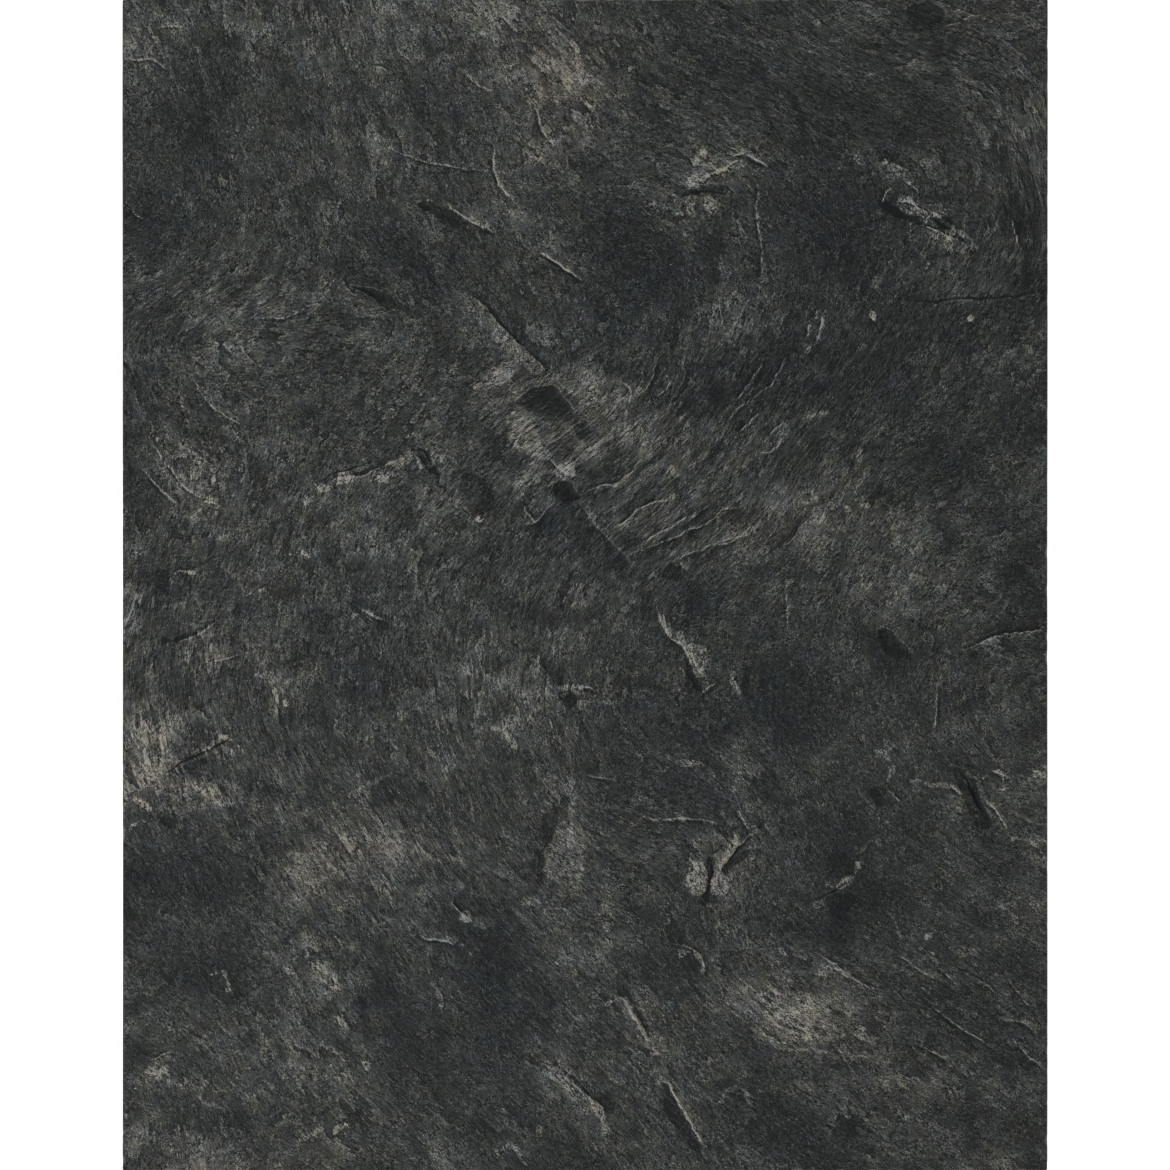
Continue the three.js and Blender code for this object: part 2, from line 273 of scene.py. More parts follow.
# Scales where a paler or a darker leaf shows, or a fleck of it: lift in grey levels, outline.
SCALES = [
    # round the chip far right of the middle
    (38, [(98, 396), (110, 398), (122, 399), (122, 392), (112, 388), (102, 386)]),
    (26, [(120, 399), (136, 407), (150, 413), (156, 410), (140, 402), (124, 394)]),
    (40, [(107, 418), (113, 428), (118, 424), (115, 414), (109, 412)]),
    (36, [(117, 378), (127, 377), (131, 367), (124, 361), (117, 366)]),
    (20, [(99, 378), (107, 379), (106, 366), (108, 358), (101, 362)]),
    (-26, [(96, 380), (105, 385), (120, 387), (137, 389), (136, 381), (115, 379)]),
    (-24, [(112, 398), (122, 404), (130, 403), (123, 397)]),
    (-16, [(178, 410), (190, 414), (197, 408), (190, 402), (180, 404)]),
    (10, [(140, 268), (150, 282), (165, 300), (178, 296), (182, 282), (168, 270), (150, 262)]),
    (24, [(226, 236), (230, 246), (233, 262), (229, 262), (226, 247)]),
    (20, [(214, 243), (219, 256), (220, 246)]),
    # far right
    (38, [(304, 374), (314, 378), (322, 370), (330, 366), (326, 360), (314, 362), (306, 368)]),
    (36, [(324, 363), (338, 362), (346, 359), (338, 357), (326, 359)]),
    (32, [(326, 356), (334, 355), (341, 348), (332, 350)]),
    (42, [(340, 346), (350, 343), (360, 340), (358, 335), (348, 338), (340, 342)]),
    (32, [(350, 345), (366, 344), (376, 338), (364, 338)]),
    (-28, [(342, 356), (352, 359), (358, 352), (350, 348), (343, 350)]),
    (-28, [(292, 372), (304, 368), (312, 361), (306, 358), (296, 363), (288, 369)]),
    (-20, [(308, 360), (322, 361), (330, 354), (320, 352)]),
    (14, [(346, 334), (370, 336), (382, 330), (376, 322), (356, 324)]),
    (24, [(290, 412), (300, 408), (308, 402), (298, 402), (291, 406)]),
    (-22, [(286, 414), (300, 420), (304, 414), (292, 411)]),
    (80, [(277, 263), (281, 264), (282, 257), (278, 257)]),
    (70, [(374, 261), (379, 261), (378, 256), (374, 256)]),
    (20, [(279, 290), (283, 299), (287, 297), (283, 288)]),
    # the long edge down from the middle
    (28, [(71, -26), (78, -26), (84, -40), (82, -51), (76, -46), (72, -36)]),
    (-18, [(86, -30), (98, -32), (100, -44), (90, -42), (84, -34)]),
    (30, [(91, -46), (97, -48), (98, -58), (92, -54)]),
    (28, [(100, -60), (110, -58), (120, -62), (122, -74), (116, -86), (108, -88), (102, -76)]),
    (-22, [(96, -70), (101, -76), (108, -90), (114, -104), (108, -100), (98, -84)]),
    (22, [(141, -88), (146, -86), (152, -104), (146, -104)]),
    (-16, [(152, -96), (158, -80), (162, -92), (156, -108)]),
    # middle
    (40, [(-26, -97), (-6, -98), (-4, -102), (-24, -102)]),
    (38, [(-14, -104), (-4, -103), (-3, -107), (-10, -108)]),
    (50, [(-8, -114), (-1, -114), (0, -119), (-5, -120)]),
    (-26, [(-24, -103), (-15, -105), (-9, -113), (-14, -121), (-22, -112)]),
    (-18, [(-42, -72), (-34, -74), (-24, -92), (-26, -97), (-36, -86)]),
    (8, [(-50, -80), (-28, -100), (-22, -115), (-15, -130), (-17, -150), (-11, -165), (-12, -186),
         (-38, -186), (-45, -150), (-60, -110)]),
    (20, [(-38, -186), (-14, -187), (-14, -203), (-26, -206), (-40, -198)]),
    (-22, [(-40, -222), (-30, -216), (-27, -230), (-34, -250), (-40, -250), (-42, -236)]),
    (-18, [(-48, -260), (-40, -262), (-41, -290), (-50, -276)]),
    (18, [(-20, -226), (-10, -229), (-2, -238), (0, -256), (-4, -290), (-16, -302), (-38, -292),
          (-38, -270), (-34, -258), (-29, -240)]),
    (36, [(-80, -140), (-74, -144), (-67, -157), (-74, -154)]),
    (26, [(88, -172), (98, -169), (108, -171), (118, -176), (106, -177), (94, -175)]),
    (18, [(8, -112), (26, -111), (40, -107), (36, -113), (20, -115)]),
    (50, [(-121, -320), (-114, -317), (-110, -325), (-117, -328)]),
    (18, [(-110, -323), (-90, -324), (-88, -331), (-100, -333)]),
    (18, [(-62, -308), (-48, -302), (-42, -308), (-56, -311)]),
    # the broken corner below the middle
    (36, [(100, -268), (108, -270), (115, -273), (118, -290), (112, -300), (102, -298), (100, -284)]),
    (52, [(124, -288), (130, -280), (138, -284), (138, -298), (130, -300), (122, -296)]),
    (-36, [(118, -268), (123, -268), (122, -290), (121, -308), (114, -312), (117, -296)]),
    (36, [(134, -276), (138, -268), (146, -258), (152, -248), (148, -243), (142, -251), (137, -262),
          (131, -271)]),
    (-28, [(137, -277), (143, -268), (152, -262), (160, -258), (154, -268), (144, -272), (139, -284)]),
    (-24, [(152, -246), (158, -240), (162, -236), (158, -250), (150, -256)]),
    (48, [(151, -284), (158, -281), (165, -287), (156, -292)]),
    (7, [(141, -284), (160, -264), (171, -274), (166, -296), (146, -301)]),
    (22, [(159, -236), (167, -233), (165, -245)]),
    # round the hollows
    (17, [(-131, 287), (-109, 281), (-92, 261), (-70, 239), (-43, 213), (-50, 206), (-73, 226),
          (-95, 248), (-115, 271)]),
    (24, [(-54, 218), (-43, 215), (-40, 209), (-50, 205)]),
    (20, [(-62, 190), (-48, 198), (-30, 197), (-20, 189), (-10, 186), (-6, 192), (-24, 204), (-46, 201)]),
    (12, [(-24, 204), (-10, 216), (14, 214), (20, 200), (8, 190), (-10, 188)]),
    (10, [(-4, 186), (20, 186), (34, 178), (34, 164), (10, 160), (-2, 168)]),
    (18, [(-72, 168), (-58, 162), (-44, 146), (-34, 130), (-30, 122), (-44, 124), (-62, 132), (-74, 150)]),
    (58, [(-31, 112), (-22, 117), (-12, 119), (-11, 107), (-20, 104), (-27, 108)]),
    (-20, [(-11, 158), (-1, 158), (5, 148), (0, 141), (-8, 147)]),
    (-9, [(58, 212), (90, 216), (130, 216), (134, 180), (120, 166), (90, 166), (70, 172), (62, 190)]),
    (-14, [(120, 124), (134, 146), (150, 160), (160, 152), (150, 140), (136, 133)]),
    (-13, [(2, 102), (18, 106), (34, 104), (38, 112), (24, 116), (4, 110)]),
    (-3, [(-30, 74), (-10, 79), (2, 70), (20, 50), (38, 30), (46, 14), (30, 16), (0, 36), (-24, 54),
          (-42, 60)]),
    (-14, [(-120, 104), (-104, 104), (-90, 96), (-84, 80), (-100, 70), (-118, 78)]),
    (-12, [(-100, 122), (-84, 122), (-74, 138), (-71, 156), (-82, 146), (-94, 132)]),
    (80, [(-105, 65), (-101, 65), (-100, 60), (-105, 60)]),
    (40, [(-89, 210), (-84, 211), (-83, 206), (-88, 205)]),
    (44, [(-107, 196), (-103, 196), (-103, 191), (-107, 191)]),
    (40, [(83, 88), (88, 88), (88, 84), (83, 84)]),
    (40, [(79, 115), (85, 116), (85, 110), (79, 110)]),
    (44, [(50, 184), (55, 185), (55, 192), (50, 191)]),
    (-18, [(76, 9), (88, 7), (93, 17), (82, 21)]),
    # left of the middle
    (75, [(-276, 33), (-271, 33), (-267, 30), (-269, 28), (-274, 30)]),
    (70, [(-386, 15), (-381, 14), (-380, 11), (-384, 11)]),
    (55, [(-318, -5), (-313, -4), (-310, -6), (-315, -8)]),
    (80, [(-295, -112), (-290, -112), (-289, -117), (-293, -117)]),
    (45, [(-306, -100), (-302, -98), (-299, -112), (-303, -110)]),
    (45, [(-274, 86), (-271, 86), (-269, 77), (-272, 77)]),
    (45, [(-262, 99), (-250, 99), (-245, 95), (-258, 92)]),
    (38, [(-245, 100), (-232, 112), (-224, 108), (-232, 101), (-240, 97)]),
    (36, [(-192, 118), (-182, 125), (-172, 126), (-168, 120), (-180, 115)]),
    (45, [(-178, 128), (-172, 130), (-168, 128), (-174, 126)]),
    (24, [(-206, 104), (-196, 110), (-190, 106), (-200, 100)]),
    (-26, [(-162, 128), (-154, 128), (-147, 116), (-142, 106), (-150, 110), (-158, 118)]),
    (36, [(-372, 80), (-366, 84), (-358, 86), (-356, 70), (-359, 66), (-360, 77)]),
    (16, [(-452, -34), (-441, -20), (-436, -10), (-431, -10), (-438, -24), (-446, -38)]),
    (-24, [(-400, -54), (-388, -50), (-375, -45), (-372, -42), (-384, -46), (-396, -51)]),
    (-18, [(-362, -37), (-352, -33), (-345, -32), (-352, -30), (-360, -34)]),
    (-14, [(-228, -18), (-205, -14), (-196, -30), (-190, -42), (-206, -38), (-222, -28)]),
    (32, [(-217, -26), (-210, -25), (-203, -31), (-206, -33), (-213, -29)]),
    (-14, [(-419, 12), (-410, 14), (-404, 0), (-410, -6), (-418, 2)]),
    (-9, [(-275, -22), (-268, -24), (-268, -60), (-276, -72), (-274, -50)]),
    (11, [(-420, 150), (-405, 158), (-384, 138), (-350, 118), (-345, 105), (-362, 92), (-384, 100),
          (-405, 122)]),
    # left edge
    (-22, [(-400, -162), (-388, -154), (-372, -160), (-380, -168), (-392, -172)]),
    (-20, [(-396, -178), (-380, -172), (-370, -168), (-366, -172), (-384, -180)]),
    (36, [(-358, -150), (-350, -146), (-342, -150), (-350, -152)]),
    (24, [(-372, -156), (-362, -152), (-356, -153), (-366, -158)]),
    (60, [(-431, -150), (-425, -150), (-424, -154), (-429, -154)]),
    (75, [(-439, -209), (-433, -209), (-423, -216), (-426, -218), (-435, -213)]),
    (50, [(-433, -230), (-429, -229), (-430, -232)]),
    (75, [(-375, -198), (-371, -198), (-369, -203), (-373, -203)]),
    (32, [(-360, -209), (-357, -213), (-351, -216), (-342, -213), (-343, -211), (-351, -213),
          (-356, -210)]),
    (-22, [(-415, -222), (-402, -222), (-397, -232), (-406, -237), (-414, -230)]),
    (26, [(-217, -194), (-208, -190), (-200, -186), (-202, -190), (-210, -194)]),
    # near half, left
    (-16, [(-293, -343), (-287, -345), (-288, -354), (-292, -352)]),
    (20, [(-303, -358), (-297, -360), (-290, -366), (-300, -363)]),
    (20, [(-268, -374), (-258, -366), (-248, -368), (-242, -380), (-234, -392), (-244, -392), (-256, -386),
          (-262, -380)]),
    (-20, [(-226, -404), (-216, -400), (-212, -412), (-208, -424), (-216, -422), (-224, -412)]),
    (42, [(-428, -474), (-420, -470), (-412, -468), (-406, -466), (-404, -476), (-410, -472), (-414, -480),
          (-421, -480), (-426, -484)]),
    (24, [(-394, -486), (-386, -484), (-376, -488), (-380, -491), (-390, -490)]),
    (24, [(-374, -500), (-368, -506), (-358, -509), (-356, -507), (-366, -503)]),
    (30, [(-268, -533), (-258, -529), (-254, -531), (-262, -535)]),
    (60, [(-216, -464), (-213, -463), (-210, -470), (-213, -470)]),
    (60, [(-234, -523), (-230, -523), (-230, -526)]),
    (50, [(-353, -376), (-350, -377), (-347, -383), (-351, -381)]),
    (36, [(-241, -420), (-236, -421), (-229, -430), (-232, -433), (-238, -428)]),
    (22, [(-146, -386), (-139, -398), (-137, -411), (-140, -412), (-142, -400), (-150, -388)]),
    # near half, right
    (28, [(296, -196), (299, -184), (302, -180), (300, -172), (298, -182), (294, -196)]),
    (-12, [(278, -198), (302, -199), (302, -212), (290, -214), (280, -206)]),
    (26, [(268, -260), (274, -250), (278, -248), (275, -252), (271, -260)]),
    (40, [(245, -293), (252, -292), (258, -286), (262, -282), (255, -283), (248, -288)]),
    (-12, [(236, -266), (252, -262), (262, -276), (252, -284), (240, -284)]),
    (-13, [(238, -300), (252, -296), (264, -302), (256, -318), (240, -316)]),
    (-8, [(240, -320), (262, -324), (262, -344), (256, -364), (244, -360), (238, -340)]),
    (24, [(222, -310), (230, -306), (232, -312), (226, -318)]),
    (24, [(238, -368), (248, -368), (258, -376), (256, -379), (246, -372)]),
    (16, [(196, -418), (214, -412), (232, -424), (252, -430), (250, -438), (236, -442), (214, -442),
          (198, -434)]),
    (-30, [(222, -431), (230, -430), (236, -436), (228, -437)]),
    (18, [(180, -442), (192, -448), (206, -451), (220, -450), (206, -454), (190, -452)]),
    (-20, [(362, -176), (370, -184), (384, -202), (390, -220), (394, -234), (386, -236), (376, -222),
           (368, -204), (362, -188)]),
    (22, [(382, -190), (392, -206), (404, -222), (412, -238), (402, -236), (392, -222), (384, -206)]),
    (26, [(330, -190), (344, -194), (358, -194), (366, -200), (368, -208), (360, -200), (346, -197),
          (334, -194)]),
    (14, [(356, -200), (366, -203), (372, -214), (362, -219), (356, -210)]),
    (40, [(398, -181), (403, -181), (407, -188), (402, -186)]),
    (38, [(434, -184), (444, -182), (452, -183), (450, -187), (438, -187)]),
    (34, [(427, -246), (436, -249), (443, -255), (438, -255), (430, -250)]),
    (28, [(416, -318), (420, -322), (420, -330), (416, -328)]),
    (-18, [(420, -328), (426, -327), (433, -336), (428, -337)]),
    (60, [(329, -341), (335, -340), (336, -342), (330, -343)]),
    (-12, [(382, -318), (400, -320), (400, -328), (388, -334), (380, -326)]),
    (20, [(304, -328), (308, -340), (316, -350), (330, -354), (322, -354), (312, -347), (304, -334)]),
    # near half, middle
    (24, [(-42, -462), (-30, -466), (-18, -478), (-6, -486), (4, -496), (-8, -494), (-22, -486),
          (-36, -476)]),
    (34, [(4, -498), (14, -505), (20, -516), (24, -530), (20, -534), (14, -520), (8, -508)]),
    (-22, [(-2, -482), (8, -490), (20, -498), (28, -508), (24, -510), (12, -502), (0, -492)]),
    (-20, [(78, -500), (90, -512), (100, -528), (110, -544), (112, -552), (102, -546), (88, -528),
           (78, -512)]),
    (20, [(78, -484), (88, -497), (98, -514), (108, -530), (114, -542), (108, -538), (98, -524),
          (88, -506)]),
    (40, [(31, -401), (38, -401), (45, -408), (50, -420), (58, -436), (66, -446), (60, -442), (50, -428),
          (44, -414), (36, -405)]),
    (-16, [(32, -378), (40, -376), (44, -388), (48, -400), (40, -402), (32, -396)]),
    (30, [(104, -356), (112, -360), (118, -368), (117, -378), (114, -377), (115, -368), (108, -361)]),
    (24, [(-18, -436), (-15, -428), (-13, -425), (-13, -430), (-16, -436)]),
    (30, [(138, -492), (144, -488), (152, -490), (144, -492)]),
    (-12, [(124, -484), (140, -480), (152, -488), (156, -502), (146, -498), (134, -490)]),
    (28, [(-76, -545), (-66, -545), (-62, -556), (-65, -558), (-68, -550)]),
    (26, [(-48, -530), (-44, -528), (-43, -536), (-46, -538)]),
    (24, [(-134, -340), (-126, -344), (-118, -350), (-122, -350), (-132, -346)]),
    # right of the middle
    (26, [(95, 24), (99, 20), (98, 16), (94, 20)]),
    (20, [(221, 64), (226, 76), (232, 70), (228, 60)]),
    (40, [(236, 79), (240, 79), (240, 74), (236, 74)]),
    (50, [(252, 76), (257, 76), (257, 71), (253, 71)]),
    (50, [(268, 79), (276, 79), (276, 74), (270, 74)]),
    (26, [(260, 122), (264, 132), (270, 130), (268, 120)]),
    (34, [(226, 167), (237, 168), (237, 164), (230, 164)]),
    (20, [(240, 148), (252, 150), (251, 145), (241, 144)]),
]
# Ledges, as lines with the low ground on the right hand of someone who walks along them if the drop is
# positive: points, drop, reach of the low ground, paleness of the broken edge (a dark crack if negative).
LEDGES = [
    # middle
    ([(-129, 285), (-105, 276), (-80, 251), (-43, 214), (-30, 200)], -1.6, 30, 0.4),
    ([(41, 5), (45, 22), (33, 34), (15, 54), (-2, 74), (-12, 84)], -1.2, 30, 0.08),
    ([(-28, 86), (-44, 66), (-59, 56)], -1.4, 30, 0.35),
    ([(-49, 61), (-59, 79)], 0.5, 10, 0.5),
    ([(-32, 122), (-20, 110), (-8, 106)], 0.8, 10, 0.9),
    ([(-1, 89), (18, 97), (35, 99), (43, 108), (55, 122)], -0.9, 14, 0.6),
    ([(21, 50), (51, 71), (70, 80), (92, 88)], -0.7, 10, 0.5),
    ([(45, 35), (78, 54), (111, 69)], -0.6, 10, 0.42),
    ([(43, 30), (93, 49), (149, 76)], 0.5, 10, 0.3),
    ([(66, 14), (110, 34), (170, 52)], 0.5, 10, 0.3),
    ([(57, 186), (66, 206), (73, 222)], 0.5, 8, 0.42),
    ([(70, 184), (84, 198)], 0.4, 8, 0.4),
    ([(37, 196), (45, 190), (43, 178)], 0.4, 8, 0.4),
    ([(-72, 130), (-60, 150)], -0.4, 8, 0.2),
    ([(100, 61), (110, 70), (120, 76)], 0.4, 8, 0.4),
    ([(122, 62), (136, 73), (150, 73)], 0.4, 8, 0.4),
    ([(120, 36), (142, 41), (158, 53)], 0.4, 8, 0.35),
    ([(146, 147), (156, 154), (170, 168)], -0.5, 9, 0.5),
    ([(176, 141), (186, 152), (200, 160)], -0.4, 8, 0.4),
    ([(170, 128), (182, 131), (194, 143)], 0.4, 8, 0.35),
    ([(140, 160), (148, 170), (158, 180)], 0.4, 8, 0.4),
    ([(118, 120), (130, 140), (140, 158), (150, 172)], 0.8, 14, 0.1),
    ([(196, 12), (197, -10), (198, -28), (197, -48)], 0.6, 12, 0.2),
    # the long edge down from the middle
    ([(69, -16), (73, -32), (83, -51), (97, -62), (109, -85)], 1.8, 30, 0.45),
    ([(75, -26), (82, -46)], -0.7, 9, 0.75),
    ([(101, -62), (108, -76), (114, -88)], 0.7, 9, 0.8),
    ([(112, -105), (127, -96)], 0.5, 8, 0.5),
    ([(143, -88), (151, -105)], -0.5, 8, 0.55),
    # far edge, middle
    ([(-89, 427), (-88, 405), (-80, 386), (-68, 372)], 0.9, 12, 0.75),
    ([(-84, 339), (-113, 357), (-138, 373)], -1.6, 20, 0.42),
    ([(-2, 296), (-10, 302), (-22, 310), (-44, 326)], -1.2, 20, 0.9),
    ([(-49, 467), (-44, 448), (-37, 436), (-28, 427)], 0.6, 9, 0.6),
    ([(-117, 498), (-104, 486), (-90, 478)], 0.4, 8, 0.35),
    ([(-198, 430), (-166, 415), (-130, 408), (-95, 403)], 0.4, 8, 0.35),
    ([(-12, 480), (6, 462), (16, 440)], 0.4, 8, 0.25),
    ([(-205, 504), (-192, 500)], -0.4, 7, 0.6),
    # far edge, left
    ([(-413, 542), (-392, 544)], 0.4, 7, 0.4),
    ([(-447, 512), (-422, 511), (-402, 500)], 0.6, 9, 0.5),
    ([(-442, 366), (-428, 354)], 0.4, 8, 0.3),
    ([(-240, 299), (-231, 289), (-222, 281)], -0.6, 9, 0.45),
    ([(-326, 260), (-292, 261), (-261, 275)], 0.5, 9, 0.35),
    ([(-386, 205), (-364, 176), (-346, 163), (-329, 154)], 0.5, 9, 0.3),
    ([(-340, 250), (-328, 222), (-312, 212)], -0.4, 8, 0.28),
    # the chip far right of the middle
    ([(150, 414), (131, 403), (112, 392), (102, 388)], -2.0, 16, 0.75),
    ([(144, 418), (155, 421)], 0.5, 8, 0.9),
    ([(157, 419), (168, 412), (178, 407)], 0.6, 9, 0.7),
    ([(98, 380), (118, 383), (137, 381)], 1.0, 8, -0.5),
    ([(104, 416), (108, 410)], 0.5, 8, 0.8),
    ([(160, 404), (167, 384), (169, 350), (171, 330), (173, 308), (169, 282)], 0.4, 8, 0.3),
    # its bow
    ([(132, 276), (133, 260), (131, 244)], -0.4, 8, 0.35),
    ([(231, 262), (230, 250), (226, 236)], 0.5, 8, 0.55),
    ([(220, 256), (215, 240)], 0.4, 8, 0.4),
    ([(224, 330), (218, 345)], 0.4, 8, 0.2),
    ([(196, 222), (180, 196), (160, 180)], 0.4, 8, 0.3),
    ([(176, 222), (152, 184), (140, 172)], 0.4, 8, 0.32),
    # far right
    ([(374, 330), (358, 336), (345, 343), (326, 352)], 1.6, 16, 0.5),
    ([(326, 366), (318, 371), (305, 374)], -1.0, 12, 0.7),
    ([(290, 370), (291, 380), (298, 387)], -0.5, 8, 0.5),
    ([(312, 392), (320, 386), (325, 380)], 0.4, 8, 0.4),
    ([(360, 340), (350, 349), (338, 356)], 0.7, 9, -0.5),
    ([(340, 358), (330, 366), (318, 368)], 0.6, 9, -0.4),
    ([(288, 415), (303, 406), (312, 404)], -0.5, 9, 0.35),
    ([(388, 555), (370, 550), (347, 541)], 0.7, 10, 0.35),
    ([(413, 357), (418, 345), (424, 326)], -0.5, 8, 0.45),
    ([(318, 276), (350, 277), (400, 280), (450, 286)], 0.5, 9, -0.4),
    ([(279, 261), (281, 257)], 0.5, 7, 0.9),
    ([(376, 260), (379, 256)], 0.5, 7, 0.8),
    # left of the middle
    ([(-255, 97), (-232, 107), (-215, 108), (-192, 119), (-177, 125), (-163, 128)], -1.5, 22, 0.4),
    ([(-262, 101), (-236, 112), (-200, 122)], 0.8, 8, -0.35),
    ([(-168, 130), (-155, 128), (-149, 114)], 1.2, 10, -0.7),
    ([(-432, 116), (-419, 98), (-395, 76)], 0.5, 9, 0.35),
    ([(-425, 139), (-407, 119), (-384, 91), (-364, 85)], 0.6, 9, 0.45),
    ([(-407, 153), (-384, 131), (-356, 113)], -0.5, 9, 0.3),
    ([(-364, 81), (-359, 78)], 0.4, 7, 0.8),
    ([(-272, 32), (-268, 30)], 0.5, 7, 0.9),
    ([(-384, 13), (-382, 11)], 0.4, 7, 0.7),
    ([(-105, 63), (-101, 61)], 0.4, 7, 0.7),
    ([(-398, -55), (-381, -49), (-356, -36)], -0.6, 9, 0.35),
    ([(-370, -76), (-351, -71), (-332, -66)], 0.4, 8, 0.28),
    ([(-223, -21), (-212, -27), (-192, -33)], 0.5, 9, 0.4),
    ([(-305, -100), (-300, -112)], 0.5, 8, 0.9),
    # left edge
    ([(-414, -136), (-411, -152), (-411, -166), (-414, -179)], 0.8, 9, 0.55),
    ([(-338, -145), (-360, -158), (-385, -170), (-414, -186)], -1.4, 20, -0.5),
    ([(-438, -206), (-428, -212), (-424, -216)], 0.5, 8, 0.8),
    ([(-384, -192), (-376, -202)], 0.4, 8, 0.4),
    # middle, near half
    ([(-12, -101), (8, -101)], 0.5, 8, 0.7),
    ([(-20, -150), (-18, -120), (-12, -105)], 0.4, 10, -0.1),
    ([(0, -185), (15, -187), (31, -190)], 0.4, 8, 0.35),
    ([(-78, -138), (-72, -154)], -0.5, 8, 0.5),
    ([(-18, -284), (-14, -220), (-17, -150), (-30, -118)], -0.8, 40, 0.05),
    ([(-32, -240), (-44, -268), (-46, -286)], 0.7, 12, -0.3),
    ([(134, -233), (113, -228), (73, -228), (54, -224)], -0.5, 10, 0.4),
    ([(146, -219), (154, -229), (160, -237)], 0.6, 9, 0.55),
    ([(127, -293), (134, -274), (144, -259), (154, -250), (164, -242)], 2.2, 20, 0.7),
    ([(120, -300), (122, -282), (121, -263)], 0.8, 9, -0.5),
    ([(93, -349), (104, -352), (114, -362), (116, -377)], -0.5, 8, 0.4),
    ([(103, -268), (108, -280)], 0.5, 8, 0.6),
    # near half, right
    ([(223, -355), (236, -364), (254, -376), (270, -387), (287, -393)], -0.6, 10, 0.42),
    ([(221, -310), (234, -302), (247, -293), (264, -281)], 0.7, 9, -0.4),
    ([(204, -448), (180, -440), (166, -428)], 0.5, 9, 0.4),
    ([(214, -438), (190, -430), (176, -418)], 0.4, 9, 0.3),
    ([(342, -105), (343, -122), (340, -139)], -0.5, 8, 0.6),
    ([(450, -42), (425, -46), (401, -51), (370, -63)], 1.6, 16, 0.55),
    ([(376, -21), (364, -30)], -0.5, 9, 0.4),
    ([(388, -225), (377, -205), (367, -183)], 2.0, 18, -0.5),
    ([(410, -238), (401, -224), (391, -208)], -0.7, 9, 0.6),
    ([(356, -195), (367, -203)], 0.5, 8, 0.7),
    ([(397, -180), (413, -189)], 0.5, 8, 0.5),
    ([(434, -181), (444, -184)], 0.4, 7, 0.5),
    ([(330, -407), (350, -420), (373, -435), (396, -452)], 0.5, 8, 0.35),
    ([(325, -447), (345, -458), (356, -463)], 0.4, 8, 0.3),
    ([(403, -424), (425, -424), (440, -436)], 0.4, 8, 0.3),
    ([(418, -442), (428, -455), (446, -470)], 0.5, 8, 0.35),
    ([(300, -355), (320, -372), (345, -385)], 0.4, 8, 0.25),
    ([(345, -373), (366, -391)], 0.4, 8, 0.25),
    ([(360, -370), (385, -383), (410, -400)], 0.6, 9, -0.35),
    ([(410, -380), (425, -400), (440, -418)], 0.4, 8, 0.25),
    ([(240, -442), (252, -460), (262, -476)], 0.4, 8, 0.25),
    ([(322, -400), (345, -418), (362, -430)], -0.5, 9, -0.3),
    # near half, left and middle
    ([(-163, -335), (-155, -345), (-144, -344), (-126, -350)], 0.5, 9, 0.6),
    ([(-129, -300), (-127, -316)], -1.6, 26, 0.2),
    ([(-129, -307), (-123, -316), (-117, -323)], -0.5, 8, 0.75),
    ([(-272, -363), (-250, -378), (-226, -395)], 0.4, 9, 0.35),
    ([(-140, -393), (-138, -413)], -0.4, 8, 0.4),
    ([(31, -400), (42, -409), (52, -427), (64, -444)], -1.4, 20, 0.75),
    ([(76, -483), (89, -501), (100, -520), (113, -542)], 2.0, 24, 0.8),
    ([(-24, -475), (-8, -488), (15, -507), (22, -533)], -0.8, 14, 0.4),
    ([(-12, -470), (-24, -486)], 0.4, 9, 0.3),
    ([(-400, -452), (-424, -462)], 0.6, 9, 0.45),
    ([(-430, -474), (-410, -478)], 0.4, 8, 0.45),
]
LINE_STEP = 3.0  # spacing of the points on a drawn line, once it is curved
LINE_CHANNELS = 3  # lines that lie close together are kept apart in this many channels
LINE_FELT = 15.0  # how far away a line is still felt by the finish
FAR_AWAY = 40.0  # the distance kept where no line is felt
SCALE_FELT = 12.0  # how far outside its outline a scale is still felt
# The way from a hollow's middle to its brim that faces the light: that brim is painted paler as a
# highlight, and the hollow's painted shade is deepest below it.
LIGHT_X, LIGHT_Y = 0.45, 0.89  # the way in which the brims face that broke off cleanly


def curve_through(points, closed=False):
    """A Catmull-Rom curve through given points, as points a few millimetres apart."""
    points = np.array(points, float)
    if closed:
        ends = np.vstack([points[-1], points, points[0], points[1]])
    else:
        ends = np.vstack([2 * points[0] - points[1], points, 2 * points[-1] - points[-2]])
    drawn = []
    for a, b, c, d in zip(ends[:-3], ends[1:-2], ends[2:-1], ends[3:]):
        count = max(2, round(np.hypot(*(c - b)) / LINE_STEP))
        t = (np.arange(count) / count)[:, None]
        bend = (2 * a - 5 * b + 4 * c - d) * t**2 + (3 * b - a - 3 * c + d) * t**3
        drawn.append((2 * b + (c - a) * t + bend) / 2)
    return np.vstack(drawn + [ends[-2]])


def beside(line, x, y):
    """Distance from a drawn line, positive on its right hand, and the share of its length walked there."""
    starts, steps = line[:-1], np.diff(line, axis=0)
    lengths = np.hypot(*steps.T)
    walked = np.concatenate([[0], np.cumsum(lengths)])
    nearest = np.full(x.shape, np.inf)
    side, share = np.ones(x.shape), np.zeros(x.shape)
    for (ax, ay), (dx, dy), length, before in zip(starts, steps, lengths, walked):
        dx, dy = dx / length, dy / length
        along = np.clip((x - ax) * dx + (y - ay) * dy, 0, length)
        away = np.hypot(x - ax - along * dx, y - ay - along * dy)
        closer = away < nearest - 1e-6
        nearest[closer] = away[closer]
        right = (x - ax) * dy - (y - ay) * dx
        side[closer] = np.where(right[closer] < 0, -1, 1)
        share[closer] = (before + along[closer]) / walked[-1]
    return nearest * side, share


def near(line, x, y, reach):
    """Which places lie within reach of the box round a line."""
    (left, bottom), (right, top) = line.min(axis=0) - reach, line.max(axis=0) + reach
    return (x > left) & (x < right) & (y > bottom) & (y < top)


